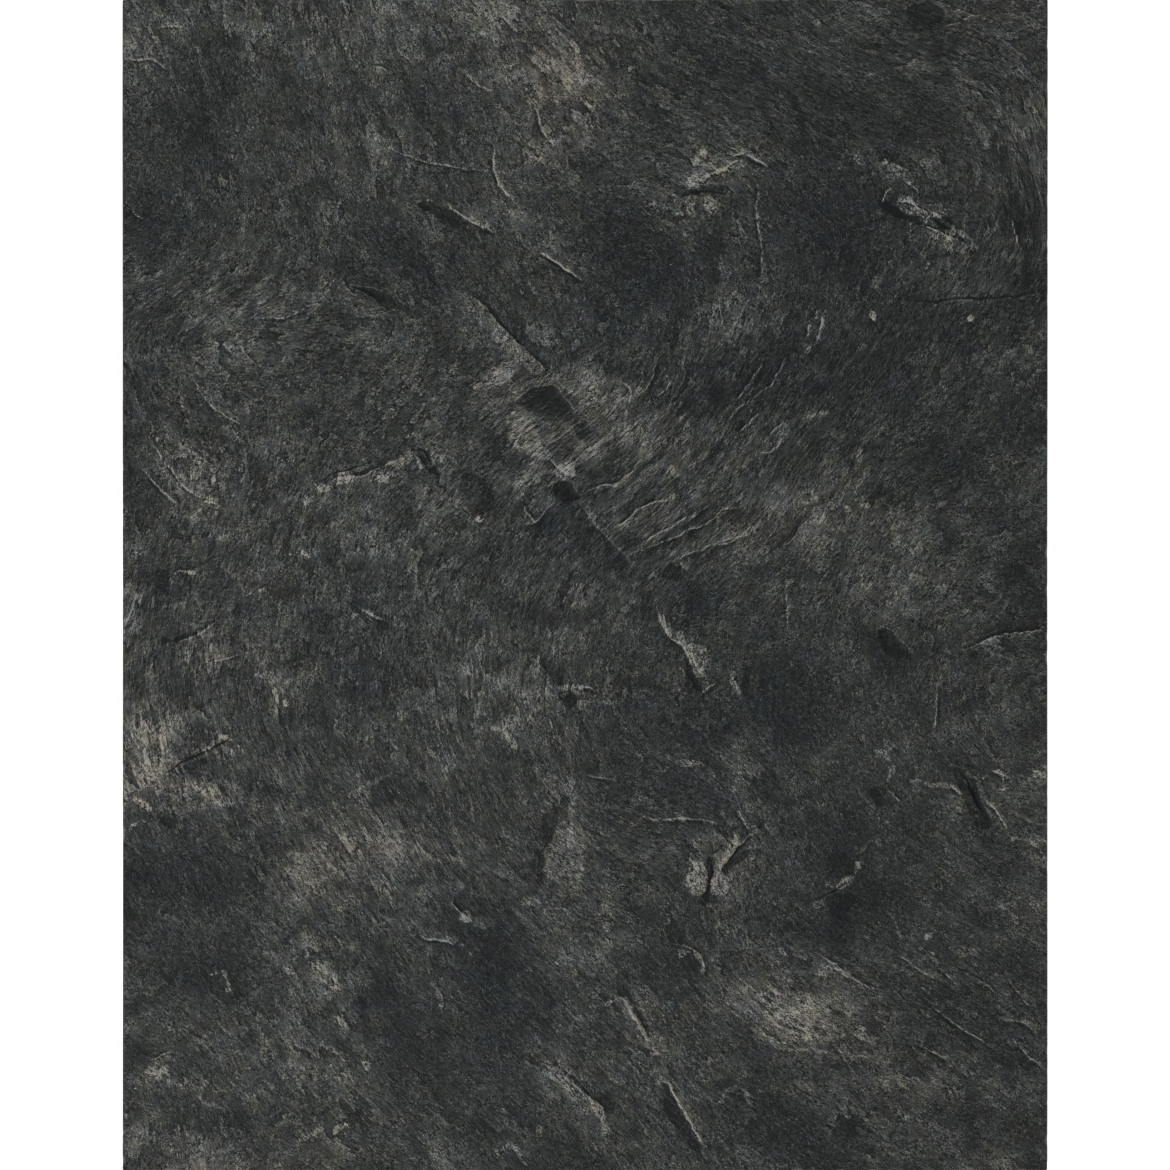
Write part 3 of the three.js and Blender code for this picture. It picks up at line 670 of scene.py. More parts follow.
def ellipse(x, y, middle_x, middle_y, along, across, turn):
    """Distance from the middle of a turned ellipse, 1 on its outline."""
    angle = math.radians(turn)
    u = (x - middle_x) * math.cos(angle) + (y - middle_y) * math.sin(angle)
    v = (y - middle_y) * math.cos(angle) - (x - middle_x) * math.sin(angle)
    return np.hypot(u / along, v / across)


def choose_channels(lines):
    """Deals lines into a few channels, each time into the one whose lines are farthest away."""
    channels = [[] for _ in range(LINE_CHANNELS)]
    chosen = []
    for line in lines:
        gaps = []
        for others in channels:
            away = [np.hypot(*(line[:, None] - other[None]).T).min() for other in others]
            gaps.append(min(away, default=np.inf))
        best = int(np.argmax(gaps))
        channels[best].append(line)
        chosen.append(best)
    return chosen


def cloud(x, y, size, octaves, seed):
    """Soft random swell, about -1 to 1, each octave half the size and height of the one before."""
    dice = np.random.default_rng(seed)
    total = np.zeros(x.shape)
    for octave in range(octaves):
        cell = size / 2**octave
        shape = [math.ceil(2 * half / cell) + 2 for half in (HALF_LENGTH, HALF_WIDTH)]
        total += read_net(dice.uniform(-1, 1, shape), cell, x, y, soften=True) / 2**octave
    return total


# Stone breaks raggedly, so the drawn lines and patches are read at places that wander a little. Drift
# is how far they wander, and swell the longest wave of it.
BREAK_DRIFT, BREAK_SWELL = 1.6, 14
STAIN_DRIFT, STAIN_SWELL = 16.0, 60
x_face, y_face = x_net.ravel(), y_net.ravel()
x_broken = x_face + BREAK_DRIFT * cloud(x_face, y_face, BREAK_SWELL, 3, seed=1)
y_broken = y_face + BREAK_DRIFT * cloud(x_face, y_face, BREAK_SWELL, 3, seed=2)
x_drift = cloud(x_face, y_face, STAIN_SWELL, 4, seed=3)
y_drift = cloud(x_face, y_face, STAIN_SWELL, 4, seed=4)

relief = np.zeros(x_face.size)
for height, across, along, phase in SWELLS:
    turns = across * x_face / (2 * HALF_WIDTH) + along * y_face / (2 * HALF_LENGTH)
    relief += height * np.sin(2 * math.pi * turns + phase)
for *oval, height in RISES:
    relief += height * smooth_step(1.3 - ellipse(x_face, y_face, *oval), 0, 0.9)

drawn_hollows = [curve_through(points, closed=True) for points, _, _ in HOLLOWS]
drawn_ledges = [curve_through(points) for points, _, _, _ in LEDGES]
channel_of = choose_channels(drawn_hollows + drawn_ledges)
line_gap = np.full((x_face.size, LINE_CHANNELS), FAR_AWAY)
line_glow = np.zeros((x_face.size, LINE_CHANNELS))
shade = np.zeros(x_face.size)  # 1 in a hollow and at the foot of a ledge, where little light comes
brink = np.zeros(x_face.size)  # height of the ledge that a place stands on the brink of


def mark_line(where, gap, glow, channel):
    """Keeps the nearest line's distance and paleness at the places that it passes."""
    closer = np.abs(gap) < np.abs(line_gap[where, channel])
    places = np.flatnonzero(where)[closer]
    faded = glow * smooth_step(-np.abs(gap), -LINE_FELT, -LINE_FELT / 2)
    line_gap[places, channel] = gap[closer]
    line_glow[places, channel] = faded[closer]


# A hollow is deep below the brim that faces the light and runs out to a fifth of that opposite.
for line, (_, depth, glow), channel in zip(drawn_hollows, HOLLOWS, channel_of):
    where = near(line, x_broken, y_broken, LINE_FELT)
    gap, _ = beside(line, x_broken[where], y_broken[where])
    middle, half = line.mean(axis=0), (line.max(axis=0) - line.min(axis=0)) / 2
    facing = (x_face[where] - middle[0]) / half[0] * LIGHT_X
    facing += (y_face[where] - middle[1]) / half[1] * LIGHT_Y
    # The brim's paleness is painted brighter as a highlight where it faces the light, and painted shade
    # fills the floor, fading out opposite that brim.
    floor_here = 1 - 0.8 * smooth_step(-facing, -0.2, 0.9)
    relief[where] -= depth * smooth_step(gap, -0.5, 5) * floor_here
    shade[where] = np.maximum(shade[where], smooth_step(gap, -1, 2) * floor_here)
    mark_line(where, gap, glow * smooth_step(facing, -0.5, 0.6), channel)

# A ledge drops sharply on one side of its line and evens out over its reach. Its brink stands up a
# little, where the leaf curled as it broke, and both fade towards the ends of the line.
for line, (_, drop, reach, glow), channel in zip(drawn_ledges, LEDGES, channel_of[len(HOLLOWS):]):
    where = near(line, x_broken, y_broken, 2.5 * reach + LINE_FELT)
    gap, share = beside(line, x_broken[where], y_broken[where])
    gap = gap * np.sign(drop)
    run = np.sin(math.pi * np.clip(share, 0.01, 0.99)) ** 0.7
    fall = smooth_step(gap, -0.8, 0.8) * np.exp(-np.abs(gap) / reach)
    relief[where] -= abs(drop) * fall * run
    relief[where] += 0.25 * abs(drop) * run * np.exp(-((gap + 2) / 3) ** 2)
    # The foot of the ledge is darkened with painted shade, and its brink is lightened further on with a
    # painted highlight.
    foot = 0.48 * abs(drop) * run * smooth_step(gap, -0.5, 1.5) * np.exp(-np.abs(gap) / (0.4 * reach))
    edge = abs(drop) * run * smooth_step(-gap, -1, 1) * np.exp(gap / 7)
    shade[where] = np.maximum(shade[where], np.minimum(foot, 1))
    brink[where] = np.maximum(brink[where], edge)
    mark_line(where, gap, glow * run, channel)

# A scale is as thick as it is pale, up to half a millimetre, and a dark one lies as much lower. Pale
# and dark scales are kept apart, in the first and the second channel.
SCALE_MARGIN = 0.7  # how far a scale spreads past its drawn outline
SCALE_THICKNESS = 0.018  # for each grey level of its lift
THICKEST_SCALE = 30
scale_gap = np.full((x_face.size, 3), -SCALE_FELT)  # positive inside a scale, and the third is unused
scale_lift = np.zeros((x_face.size, 3))
for grey, points in SCALES:
    line = curve_through(points, closed=True)
    turning = (np.roll(line[:, 0], -1) * line[:, 1] - line[:, 0] * np.roll(line[:, 1], -1)).sum()
    where = near(line, x_broken, y_broken, SCALE_FELT)
    gap, _ = beside(line, x_broken[where], y_broken[where])
    gap = gap * np.sign(turning) + SCALE_MARGIN
    relief[where] += SCALE_THICKNESS * min(grey, THICKEST_SCALE) * smooth_step(gap, -1, 1)
    kind = int(grey < 0)
    inner_most = gap > scale_gap[where, kind]
    places = np.flatnonzero(where)[inner_most]
    scale_gap[places, kind] = gap[inner_most]
    scale_lift[places, kind] = grey

# Stains and shadows of the face: middle, half lengths along and across, turn, lift in grey levels,
# and warmth, the rust that the pale patches have and the blue-black of the bare stone.
PATCHES = [
    # pale
    (-424, -160, 36, 22, 80, 29, 4.5), (212, -410, 52, 33, -30, 25, 4), (-262, -288, 32, 20, 20, 20, 3),
    (-205, -262, 70, 22, -8, 20, 3), (-373, -568, 44, 16, 0, 20, 4), (-446, -534, 18, 18, 0, 20, 1),
    (-29, 470, 46, 26, 110, 19, 4), (-100, 565, 60, 26, 120, 16, 1.5), (-56, 135, 18, 34, 10, 16, 1),
    (-72, 202, 34, 16, 135, 10, 1), (26, 150, 52, 28, 0, 13, 1.5), (137, -286, 26, 16, 60, 10, 2),
    (-252, -375, 44, 18, 140, 16, 1), (-376, 84, 38, 14, 135, 15, 1.5), (-333, 268, 44, 12, 8, 15, 1),
    (62, -436, 44, 14, 120, 14, 2), (-357, -64, 40, 18, 10, 12, 1.5), (-445, 517, 26, 12, -5, 13, 0),
    (-184, 560, 26, 34, 0, 9, 0), (-255, -552, 40, 20, 10, 12, 2), (-305, -102, 18, 16, 0, 12, 0),
    (-268, -462, 66, 20, 155, 13, 1), (-73, 392, 12, 36, 10, 9, 0), (-177, 32, 70, 36, 60, 11, -0.5),
    (-330, 545, 60, 36, 0, 12, 0), (-83, -101, 40, 34, 0, 11, 0.5), (-255, 94, 46, 12, 20, 7, 0),
    (-419, -478, 30, 12, -10, 12, 1.5), (218, 62, 60, 24, 20, 12, 2), (-17, -256, 14, 34, 10, 7, 1),
    (-22, -472, 36, 16, 130, 11, 1), (446, -262, 12, 26, 0, 5, 1), (5, -350, 44, 22, 130, 11, 0),
    (-132, -562, 34, 16, 140, 10, 0), (-120, -122, 50, 34, 60, 7, -0.5), (112, 396, 34, 12, 25, 12, 0),
    (-314, 155, 16, 40, 30, 9, 0), (300, 3, 50, 34, 40, 9, 1), (-231, 470, 34, 80, 0, 8, 0),
    (-184, 113, 40, 12, 20, 6, 0), (390, 558, 54, 20, 15, 6, 2), (-446, -50, 16, 70, 0, 10, 1),
    (440, 450, 24, 44, 0, 3, 1), (440, -330, 20, 24, 0, 7, 1), (409, -560, 50, 16, 0, 8, 1),
    (-258, -302, 26, 18, 0, 8, 2), (-401, -212, 22, 14, 0, 10, 1), (46, 410, 24, 14, 0, 8, 0),
    (18, -520, 30, 14, 130, 8, 0), (308, -480, 80, 26, 150, 6, 2), (138, 266, 46, 20, 80, 9, 0),
    (-186, 416, 50, 24, 130, 5, 0), (-374, -204, 30, 14, -20, 18, 2), (4, 500, 26, 30, 0, 17, 3),
    (2, 204, 22, 12, 0, 10, 1.5), (-55, 570, 30, 12, 0, 12, 1), (-96, 184, 40, 18, 50, 9, 1),
    (104, 138, 34, 18, 0, 10, 1.5), (-48, 350, 28, 16, -40, 10, 1), (-156, -307, 24, 16, 0, 9, 0),
    (445, -181, 16, 16, 0, 10, 0), (-445, 566, 22, 20, 0, 5, 0), (310, 4, 30, 24, 0, 9, 0),
    (-397, -196, 20, 10, 0, 10, 1), (156, -185, 26, 24, 0, 10, 0), (-371, -62, 24, 12, 0, 8, 1),
    (-434, 529, 20, 14, 0, 9, 0), (-362, 112, 24, 18, -40, 9, 1), (-335, 228, 24, 20, 0, 9, 0),
    (157, 70, 40, 20, 20, 8, 1), (115, 420, 22, 12, 20, 3, 0), (151, 405, 24, 14, 20, 8, 0),
    (-336, 293, 28, 14, 0, 15, 1), (-446, 310, 14, 24, 0, 10, 0), (-88, -14, 24, 18, 0, 8, 0),
    (-377, -140, 26, 14, 0, 8, 1), (-114, 503, 30, 18, -50, 7, 0), (-42, 253, 24, 14, -40, 7, 0),
    (-175, 170, 24, 24, 0, 6, 0), (7, -443, 24, 18, 0, 7, 0), (-317, -215, 26, 16, 0, 7, 1),
    (76, -436, 24, 16, 30, 7, 1), (-56, 380, 20, 16, 0, 7, 0), (-138, 570, 20, 10, 0, 6, 0),
    (-294, 97, 20, 16, 0, 6, 0), (-394, -205, 14, 32, 0, 7, 1), (-339, 568, 24, 12, 0, 7, 0),
    (-446, 314, 12, 22, 0, 6, 0), (-40, 455, 20, 16, 0, 6, 0), (22, 125, 20, 16, 0, 6, 0),
    (-258, -316, 22, 14, 0, 6, 0), (-300, -493, 22, 14, 0, 6, 0), (-372, 391, 22, 14, 0, 6, 0),
    # dark
    (437, 296, 24, 20, 0, -13, 0), (349, 128, 30, 16, -35, -13, -2), (179, -100, 26, 46, 0, -12, -3),
    (245, 345, 60, 44, 0, -13, -3), (285, -66, 32, 14, -38, -14, -2), (50, 322, 66, 34, -40, -14, -4),
    (257, -320, 50, 24, 20, -13, -2), (171, 203, 56, 24, 45, -12, -3.5), (434, 0, 22, 40, 0, -14, 0),
    (234, -566, 46, 18, -40, -11, -1.5), (420, 357, 34, 14, -20, -10, 0), (270, 200, 60, 40, 40, -10, -2),
    (446, -545, 18, 24, 0, -11, 0), (414, 158, 40, 22, 40, -10, 0), (179, -515, 34, 16, 125, -10, -1),
    (328, 547, 22, 12, 0, -12, 0), (103, -138, 56, 20, 0, -10, -3), (-373, -280, 76, 32, -20, -11, -3),
    (112, -10, 30, 24, 110, -10, -3), (-415, 358, 30, 34, 0, -9, -2.5), (-205, 287, 28, 10, -32, -12, -2),
    (269, 475, 60, 22, 0, -8, 0), (-100, -358, 62, 30, 130, -10, -3.5), (290, 440, 60, 18, 0, -8, 0),
    (253, -232, 50, 28, 0, -9, -2), (-19, 62, 36, 26, -40, -4, -3), (362, -422, 60, 16, 150, -8, 0),
    (99, -204, 50, 18, 0, -9, -3), (323, 262, 50, 20, 0, -7, 0), (430, -382, 36, 16, 150, -7, 0),
    (-444, 165, 12, 36, 0, -9, -1.5), (-372, 450, 26, 60, 0, -7, -2), (-82, -430, 20, 60, 20, -7, -3),
    (-165, 310, 60, 16, -40, -8, -2.5), (-210, -50, 66, 22, 80, -7, -2.5), (373, -216, 14, 40, 30, -8, 0),
    (358, -515, 40, 14, 150, -6, 0), (169, 510, 50, 26, -20, -6, -1), (418, -460, 30, 16, 150, -6, 0),
    (70, -344, 30, 26, 0, -6, -2), (-192, -392, 36, 16, 100, -6, -2), (-37, 178, 22, 10, -12, -12, -2),
    (-18, 92, 12, 11, 0, -12, -2), (-372, -373, 50, 20, 140, -4, -1), (123, 500, 44, 16, -40, -5, -1.5),
    (20, 250, 30, 30, 0, -6, -3), (-120, -20, 30, 50, 0, -3, -1), (-446, -310, 20, 30, 0, -12, 0),
    (-446, -562, 20, 16, 0, -14, 0), (-168, -474, 40, 22, -30, -11, -1), (-446, 104, 16, 24, 0, -10, 0),
    (-26, -566, 34, 16, 0, -9, 0), (-282, -252, 30, 12, 0, -9, 0), (-209, -398, 26, 20, 0, -10, -1),
    (-446, -473, 18, 14, 0, -10, 0), (-376, -374, 40, 20, 0, -10, -1), (-218, -562, 30, 14, 0, -9, 0),
    (431, 368, 20, 26, 0, -9, 0), (248, -280, 34, 22, 0, -8, -1), (-147, -431, 26, 20, 0, -9, -1),
    (233, -129, 30, 22, 0, -9, 0), (394, 268, 26, 20, 0, -8, 0), (51, -381, 24, 16, 0, -8, 0),
    (314, -568, 36, 16, 0, -9, 0), (267, -14, 22, 16, 0, -9, 0), (148, -412, 16, 18, 0, -7, 0),
    (287, -403, 24, 14, -30, -7, 0), (349, 527, 26, 18, 0, -7, 0), (-349, -569, 30, 12, 0, -7, 0),
    (200, -452, 44, 10, 0, -8, 0), (-112, -204, 24, 16, 0, -6, 0),
    (445, -293, 14, 20, 0, -7, 0), (326, -365, 22, 12, -30, -6, 0), (-110, 407, 20, 14, 0, -7, 0),
    (337, 337, 20, 12, 0, -7, 0), (445, -568, 16, 14, 0, -9, 0), (93, 568, 24, 12, 0, -8, 0),
    (445, 512, 14, 16, 0, -7, 0), (-215, 95, 22, 16, 0, -6, 0), (-228, -482, 20, 14, 0, -6, 0),
    (116, -94, 34, 14, 0, -6, 0), (-366, 257, 22, 12, 0, -6, 0),
]
# Each brink is painted paler, as a highlight of the ledge's lit upper side, and a little rusty: grey
# levels and rust for each millimetre of the ledge that it stands over.
BRINK_HIGHLIGHT, BRINK_RUST = 8, 0.6  # for each millimetre of the ledge that a brink stands over
lift = BRINK_HIGHLIGHT * brink
warmth = BRINK_RUST * brink
for *oval, grey, rust in PATCHES:
    drift = min(STAIN_DRIFT, 0.45 * oval[3])
    spread = np.exp(-(ellipse(x_face + drift * x_drift, y_face + drift * y_drift, *oval) ** 2) / 1.6)
    lift += grey * spread
    warmth += rust * spread

# Where the grain stands out in coarse combed ridges: middle, half lengths, turn, strength.
COMBED = [
    (130, 262, 90, 46, 20, 1.0), (-350, 130, 80, 50, -40, 0.9), (90, 60, 80, 36, 20, 0.6),
    (220, -418, 70, 40, -20, 0.8), (150, 190, 90, 30, 45, 0.9), (-120, 370, 90, 40, -40, 0.5),
    (-230, -270, 90, 26, -6, 0.6), (-20, 470, 40, 60, 0, 0.6), (350, -405, 90, 50, -30, 1.0),
    (60, -470, 120, 50, -50, 0.5), (-330, 280, 60, 30, 0, 0.6), (-370, -70, 50, 24, 10, 0.5),
]
LEAST_COMBED = 0.2
COMB_AGREEMENT = (0.45, 0.9)  # the comb fades away where neighbouring grain lines disagree
combed = np.zeros(x_face.size)
x_stain, y_stain = x_face + STAIN_DRIFT * x_drift, y_face + STAIN_DRIFT * y_drift
for *oval, strength in COMBED:
    combed = np.maximum(combed, strength * smooth_step(1.5 - ellipse(x_stain, y_stain, *oval), 0, 1))
combed = LEAST_COMBED + (1 - LEAST_COMBED) * combed
combed *= smooth_step(read_net(agreement, GRAIN_CELL, x_face, y_face), *COMB_AGREEMENT)


# --- The net of the whole slab ---------------------------------------------------------------------
# The split face, the four sawn edges below it and the gauged back make one closed skin. The edges hang
# from the rim of the face in rings, and small chips are missing along their upper arris.
ARRIS_CHIPS = 90
CHIP_LENGTH = (2.0, 9.0)  # shortest and longest, to each side of a chip's middle
CHIP_DEPTH = (0.4, 1.6)
CORNER_EASE = 0.6  # how much the four upright corners are taken off
rng = np.random.default_rng(17)


def rim(net):
    """Indices round the rim of a net, anticlockwise from above."""
    return np.concatenate([net[0, :-1], net[:-1, -1], net[-1, :0:-1], net[:0:-1, 0]])


face_net = np.arange(x_face.size).reshape(rows + 1, columns + 1)
face_rim = rim(face_net)
ring_size = face_rim.size
around = np.arange(ring_size) * NET

girth = ring_size * NET
chipped = np.zeros(ring_size)
for middle in rng.uniform(0, girth, ARRIS_CHIPS):
    length, depth = rng.uniform(*CHIP_LENGTH), rng.uniform(*CHIP_DEPTH)
    gap = np.abs((around - middle + girth / 2) % girth - girth / 2)
    chipped = np.maximum(chipped, depth * np.clip(1 - (gap / length) ** 2, 0, 1))

rim_x = HALF_WIDTH * x_face[face_rim] / (HALF_WIDTH - TOP_ARRIS)
rim_y = HALF_LENGTH * y_face[face_rim] / (HALF_LENGTH - TOP_ARRIS)
outward = np.column_stack([
    np.where(np.abs(rim_x) > HALF_WIDTH - 0.01, np.sign(rim_x), 0),
    np.where(np.abs(rim_y) > HALF_LENGTH - 0.01, np.sign(rim_y), 0),
])
corner = np.abs(outward).sum(axis=1) > 1.5
rim_top = THICKNESS + relief[face_rim]

# Where a chip is missing, the rim of the face lies lower and further in.
face_points = np.column_stack([x_face, y_face, THICKNESS + relief])
face_points[face_rim, 2] -= 0.5 * chipped
face_points[face_rim, :2] -= 0.8 * chipped[:, None] * outward

# The rings that hang from the rim stop at the arris of the back, and one more lies on the back.
edge_rings = round((THICKNESS - TOP_ARRIS - BACK_ARRIS) / EDGE_STEP)
rim_points = np.column_stack([rim_x, rim_y])
edge_points = rim_points - CORNER_EASE * corner[:, None] * outward
vertices = [face_points]
for ring in range(edge_rings + 1):
    share = ring / edge_rings
    top = rim_top - TOP_ARRIS - (chipped if ring == 0 else 0)
    vertices.append(np.column_stack([edge_points, top + share * (BACK_ARRIS - top)]))
vertices.append(np.column_stack([rim_points - BACK_ARRIS * outward, np.zeros(ring_size)]))

first_ring = x_face.size
back_ring = first_ring + (edge_rings + 1) * ring_size
back_rows = rows // BACK_STEP
rim_place = np.full(face_net.shape, -1)
rim_place.flat[face_rim] = back_ring + np.arange(ring_size)
back_net = rim_place[::BACK_STEP].copy()
inner = back_net[1:-1, 1:-1]
inner[:] = back_ring + ring_size + np.arange(inner.size).reshape(inner.shape)
inner_x, inner_y = x_net[::BACK_STEP][1:-1, 1:-1], y_net[::BACK_STEP][1:-1, 1:-1]
vertices.append(np.column_stack([inner_x.ravel(), inner_y.ravel(), np.zeros(inner.size)]))
vertices = np.vstack(vertices)

face_quads = np.stack([face_net[:-1, :-1], face_net[:-1, 1:], face_net[1:, 1:], face_net[1:, :-1]], -1)
rings = [face_rim] + [first_ring + k * ring_size + np.arange(ring_size) for k in range(edge_rings + 2)]
edge_quads = np.vstack([
    np.column_stack([upper, lower, np.roll(lower, -1), np.roll(upper, -1)])
    for upper, lower in zip(rings[:-1], rings[1:])
])
back_quads = np.stack([back_net[:-1, :-1], back_net[1:, :-1], back_net[1:, 1:], back_net[:-1, 1:]], -1)
# The back has far fewer rows than the rim, so the cells at its two long sides have many corners.
back_faces = []
for r in range(back_rows):
    left, right = rim_place[r * BACK_STEP:(r + 1) * BACK_STEP + 1, [0, -1]].T.tolist()
    back_faces.append([*left, back_net[r + 1, 1], back_net[r, 1]])
    back_faces.extend(back_quads[r, 1:-1].tolist())
    back_faces.append([*right[::-1], back_net[r, -2], back_net[r + 1, -2]])

faces = face_quads.reshape(-1, 4).tolist() + edge_quads.tolist() + back_faces
blank = bpy.data.meshes.new("blank")
blank.from_pydata(vertices * MM, [], faces)

SPLIT, SAWN, GAUGED = 0, 1, 2
finish_of_face = np.full(len(faces), SPLIT)
finish_of_face[face_quads.size // 4:] = SAWN
finish_of_face[-len(back_faces):] = GAUGED


def store(mesh, name, kind, domain, values):
    """Adds a named attribute to a mesh."""
    attribute = mesh.attributes.new(name, kind, domain)
    key = {"FLOAT": "value", "INT": "value", "FLOAT_VECTOR": "vector"}[kind]
    attribute.data.foreach_set(key, np.ascontiguousarray(values).ravel())


def over_all(values, elsewhere=0.0):
    """A value given on the split face, carried down its rim over the edges and set on the back."""
    values = np.asarray(values, float)
    spread = np.full((len(vertices),) + values.shape[1:], elsewhere)
    spread[:x_face.size] = values
    spread[first_ring:back_ring] = np.concatenate([values[face_rim]] * (edge_rings + 1))
    return spread


grain = np.column_stack([
    read_net(along_grain, GRAIN_CELL, vertices[:, 0], vertices[:, 1]),
    read_net(across_grain, GRAIN_CELL, vertices[:, 0], vertices[:, 1]),
    np.zeros(len(vertices)),
])
on_face = np.zeros(len(vertices))
on_face[face_net[1:-1, 1:-1].ravel()] = 1
on_back = np.zeros(len(vertices))
on_back[inner.ravel()] = 1
side_way = np.zeros((len(vertices), 3))  # the way out of each sawn edge, none at the corners
for ring in range(1, edge_rings):
    start = first_ring + ring * ring_size
    side_way[start:start + ring_size, :2] = outward * ~corner[:, None]
store(blank, "finish", "INT", "FACE", finish_of_face.astype(np.int32))
store(blank, "grain", "FLOAT_VECTOR", "POINT", grain * MM)
store(blank, "on_face", "FLOAT", "POINT", on_face)
store(blank, "on_back", "FLOAT", "POINT", on_back)
store(blank, "side_way", "FLOAT_VECTOR", "POINT", side_way)
store(blank, "line_gap", "FLOAT_VECTOR", "POINT", over_all(line_gap, FAR_AWAY) * MM)
store(blank, "line_glow", "FLOAT_VECTOR", "POINT", over_all(line_glow))
store(blank, "tone", "FLOAT_VECTOR", "POINT", over_all(np.column_stack([lift, warmth, shade])))
store(blank, "combed", "FLOAT", "POINT", over_all(combed))
store(blank, "scale_gap", "FLOAT_VECTOR", "POINT", over_all(scale_gap, -SCALE_FELT) * MM)
store(blank, "scale_lift", "FLOAT_VECTOR", "POINT", over_all(scale_lift))
slab = bpy.data.objects.new("split_slab", blank)
bpy.context.scene.collection.objects.link(slab)

# The net has to stay fine where it passes a drawn line or outline, and may be thinned elsewhere.
KEEP_REACH = 2.4
plain = np.ones(len(vertices), bool)
plain[:x_face.size] = np.abs(np.column_stack([line_gap, scale_gap])).min(axis=1) >= KEEP_REACH
slab.vertex_groups.new(name="plain").add(np.flatnonzero(plain).tolist(), 1.0, "REPLACE")


# --- Riven slate, the finish of the split face -----------------------------------------------------
# Common name slate, split by hand: a dull blue-black stone of mica and chlorite flakes that lie along
# the grain. It reads as fine combed hairs, pale along the broken edges and rusty where it weathered.
SLATE_IOR = 1.55  # between those of mica and quartz
SLATE_HEXES = ["#141516", "#1F2121", "#282A2A", "#313332", "#3A3C3B", "#444644", "#50514F", "#626360",
               "#82827E", "#9C9B96"]
GREY_TOP = 160.0  # grey level at the top of the colour ramp
BARE_GREY = 55.8  # grey level of the plain stone
LEAF_LENGTH, LEAF_WIDTH, LEAF_LEVELS = 85 * MM, 32 * MM, 9.0  # leaves, along and across the grain
SCAB_LENGTH, SCAB_WIDTH, SCAB_LEVELS = 24 * MM, 10 * MM, 6.0  # the scabs that frayed from a leaf
LINE_FRAY = 5 * MM  # how widely the drawn lines fray
SCALE_FRAY = 6 * MM


def hex_to_linear(code):
    """An sRGB hex colour as the linear colour that shaders take."""
    parts = [int(code[i:i + 2], 16) / 255 for i in (1, 3, 5)]
    return [p / 12.92 if p <= 0.04045 else ((p + 0.055) / 1.055) ** 2.4 for p in parts] + [1.0]


def add(tree, kind, inputs=None, out=0, **settings):
    """Adds a node: settings go on the node, inputs are values or the sockets that feed them."""
    node = tree.nodes.new(kind)
    for name, value in settings.items():
        setattr(node, name, value)
    for key, value in (inputs or {}).items():
        if isinstance(value, bpy.types.NodeSocket):
            tree.links.new(value, node.inputs[key])
        else:
            node.inputs[key].default_value = value
    return node if out is None else node.outputs[out]


def weigh(tree, total, marks, middle, weight):
    """Adds marks to a running total, by how far they are from their middle."""
    apart = add(tree, "ShaderNodeMath", {0: marks, 1: middle}, operation="SUBTRACT")
    return add(tree, "ShaderNodeMath", {0: apart, 1: weight, 2: total}, operation="MULTIPLY_ADD")


def leaf_pattern(tree, grain_at, length, width):
    """The pattern that both the shape and the finish of the leaves are cut from."""
    size = add(tree, "ShaderNodeCombineXYZ", {"X": length, "Y": width, "Z": 1.0})
    stretched = add(tree, "ShaderNodeVectorMath", {0: grain_at, 1: size}, operation="DIVIDE")
    return add(
        tree, "ShaderNodeTexNoise",
        {"Vector": stretched, "Scale": 1.0, "Detail": 5.0, "Roughness": 0.6},
        noise_dimensions="2D",
    )


def slate_colour(tree, grey):
    """The stone's colour at a grey level, from blue-black in a cleft to pale brown-grey on a crest."""
    share = add(tree, "ShaderNodeMath", {0: grey, 1: GREY_TOP}, operation="DIVIDE")
    ramp = add(tree, "ShaderNodeValToRGB", {0: share}, out=None)
    while len(ramp.color_ramp.elements) < len(SLATE_HEXES):
        ramp.color_ramp.elements.new(0.5)
    for element, code in zip(ramp.color_ramp.elements, SLATE_HEXES):
        element.position = int(code[3:5], 16) / GREY_TOP
        element.color = hex_to_linear(code)
    return ramp.outputs[0]


def new_finish(name):
    """An empty material, its tree, and the place of each point on the slab."""
    finish = bpy.data.materials.new(name)
    finish.use_nodes = True
    finish.node_tree.nodes.clear()
    return finish, finish.node_tree, add(finish.node_tree, "ShaderNodeTexCoord", out="Object")


def end_finish(tree, colour, relief_mm, strength, gloss):
    """Gives a finish its colour, its relief in millimetres, and its gloss on the shader's own sockets."""
    bump = add(
        tree, "ShaderNodeBump", {"Strength": strength, "Distance": MM, "Height": relief_mm}, out="Normal"
    )
    stone = add(
        tree, "ShaderNodeBsdfPrincipled",
        {"Base Color": colour, "Normal": bump, "IOR": SLATE_IOR, **gloss},
    )
    add(tree, "ShaderNodeOutputMaterial", {"Surface": stone}, out=None)


riven, tree, place = new_finish("riven slate")
grain_at = add(tree, "ShaderNodeAttribute", attribute_name="grain", out="Vector")
combed_at = add(tree, "ShaderNodeAttribute", attribute_name="combed", out="Fac")
gap_at = add(tree, "ShaderNodeAttribute", attribute_name="line_gap", out="Vector")
glow_at = add(tree, "ShaderNodeAttribute", attribute_name="line_glow", out="Vector")
scale_gap_at = add(tree, "ShaderNodeAttribute", attribute_name="scale_gap", out="Vector")
scale_lift_at = add(tree, "ShaderNodeAttribute", attribute_name="scale_lift", out="Vector")
tone_at = add(tree, "ShaderNodeAttribute", attribute_name="tone", out="Vector")
lift_at, warmth_at, shade_at = add(tree, "ShaderNodeSeparateXYZ", {0: tone_at}, out=None).outputs


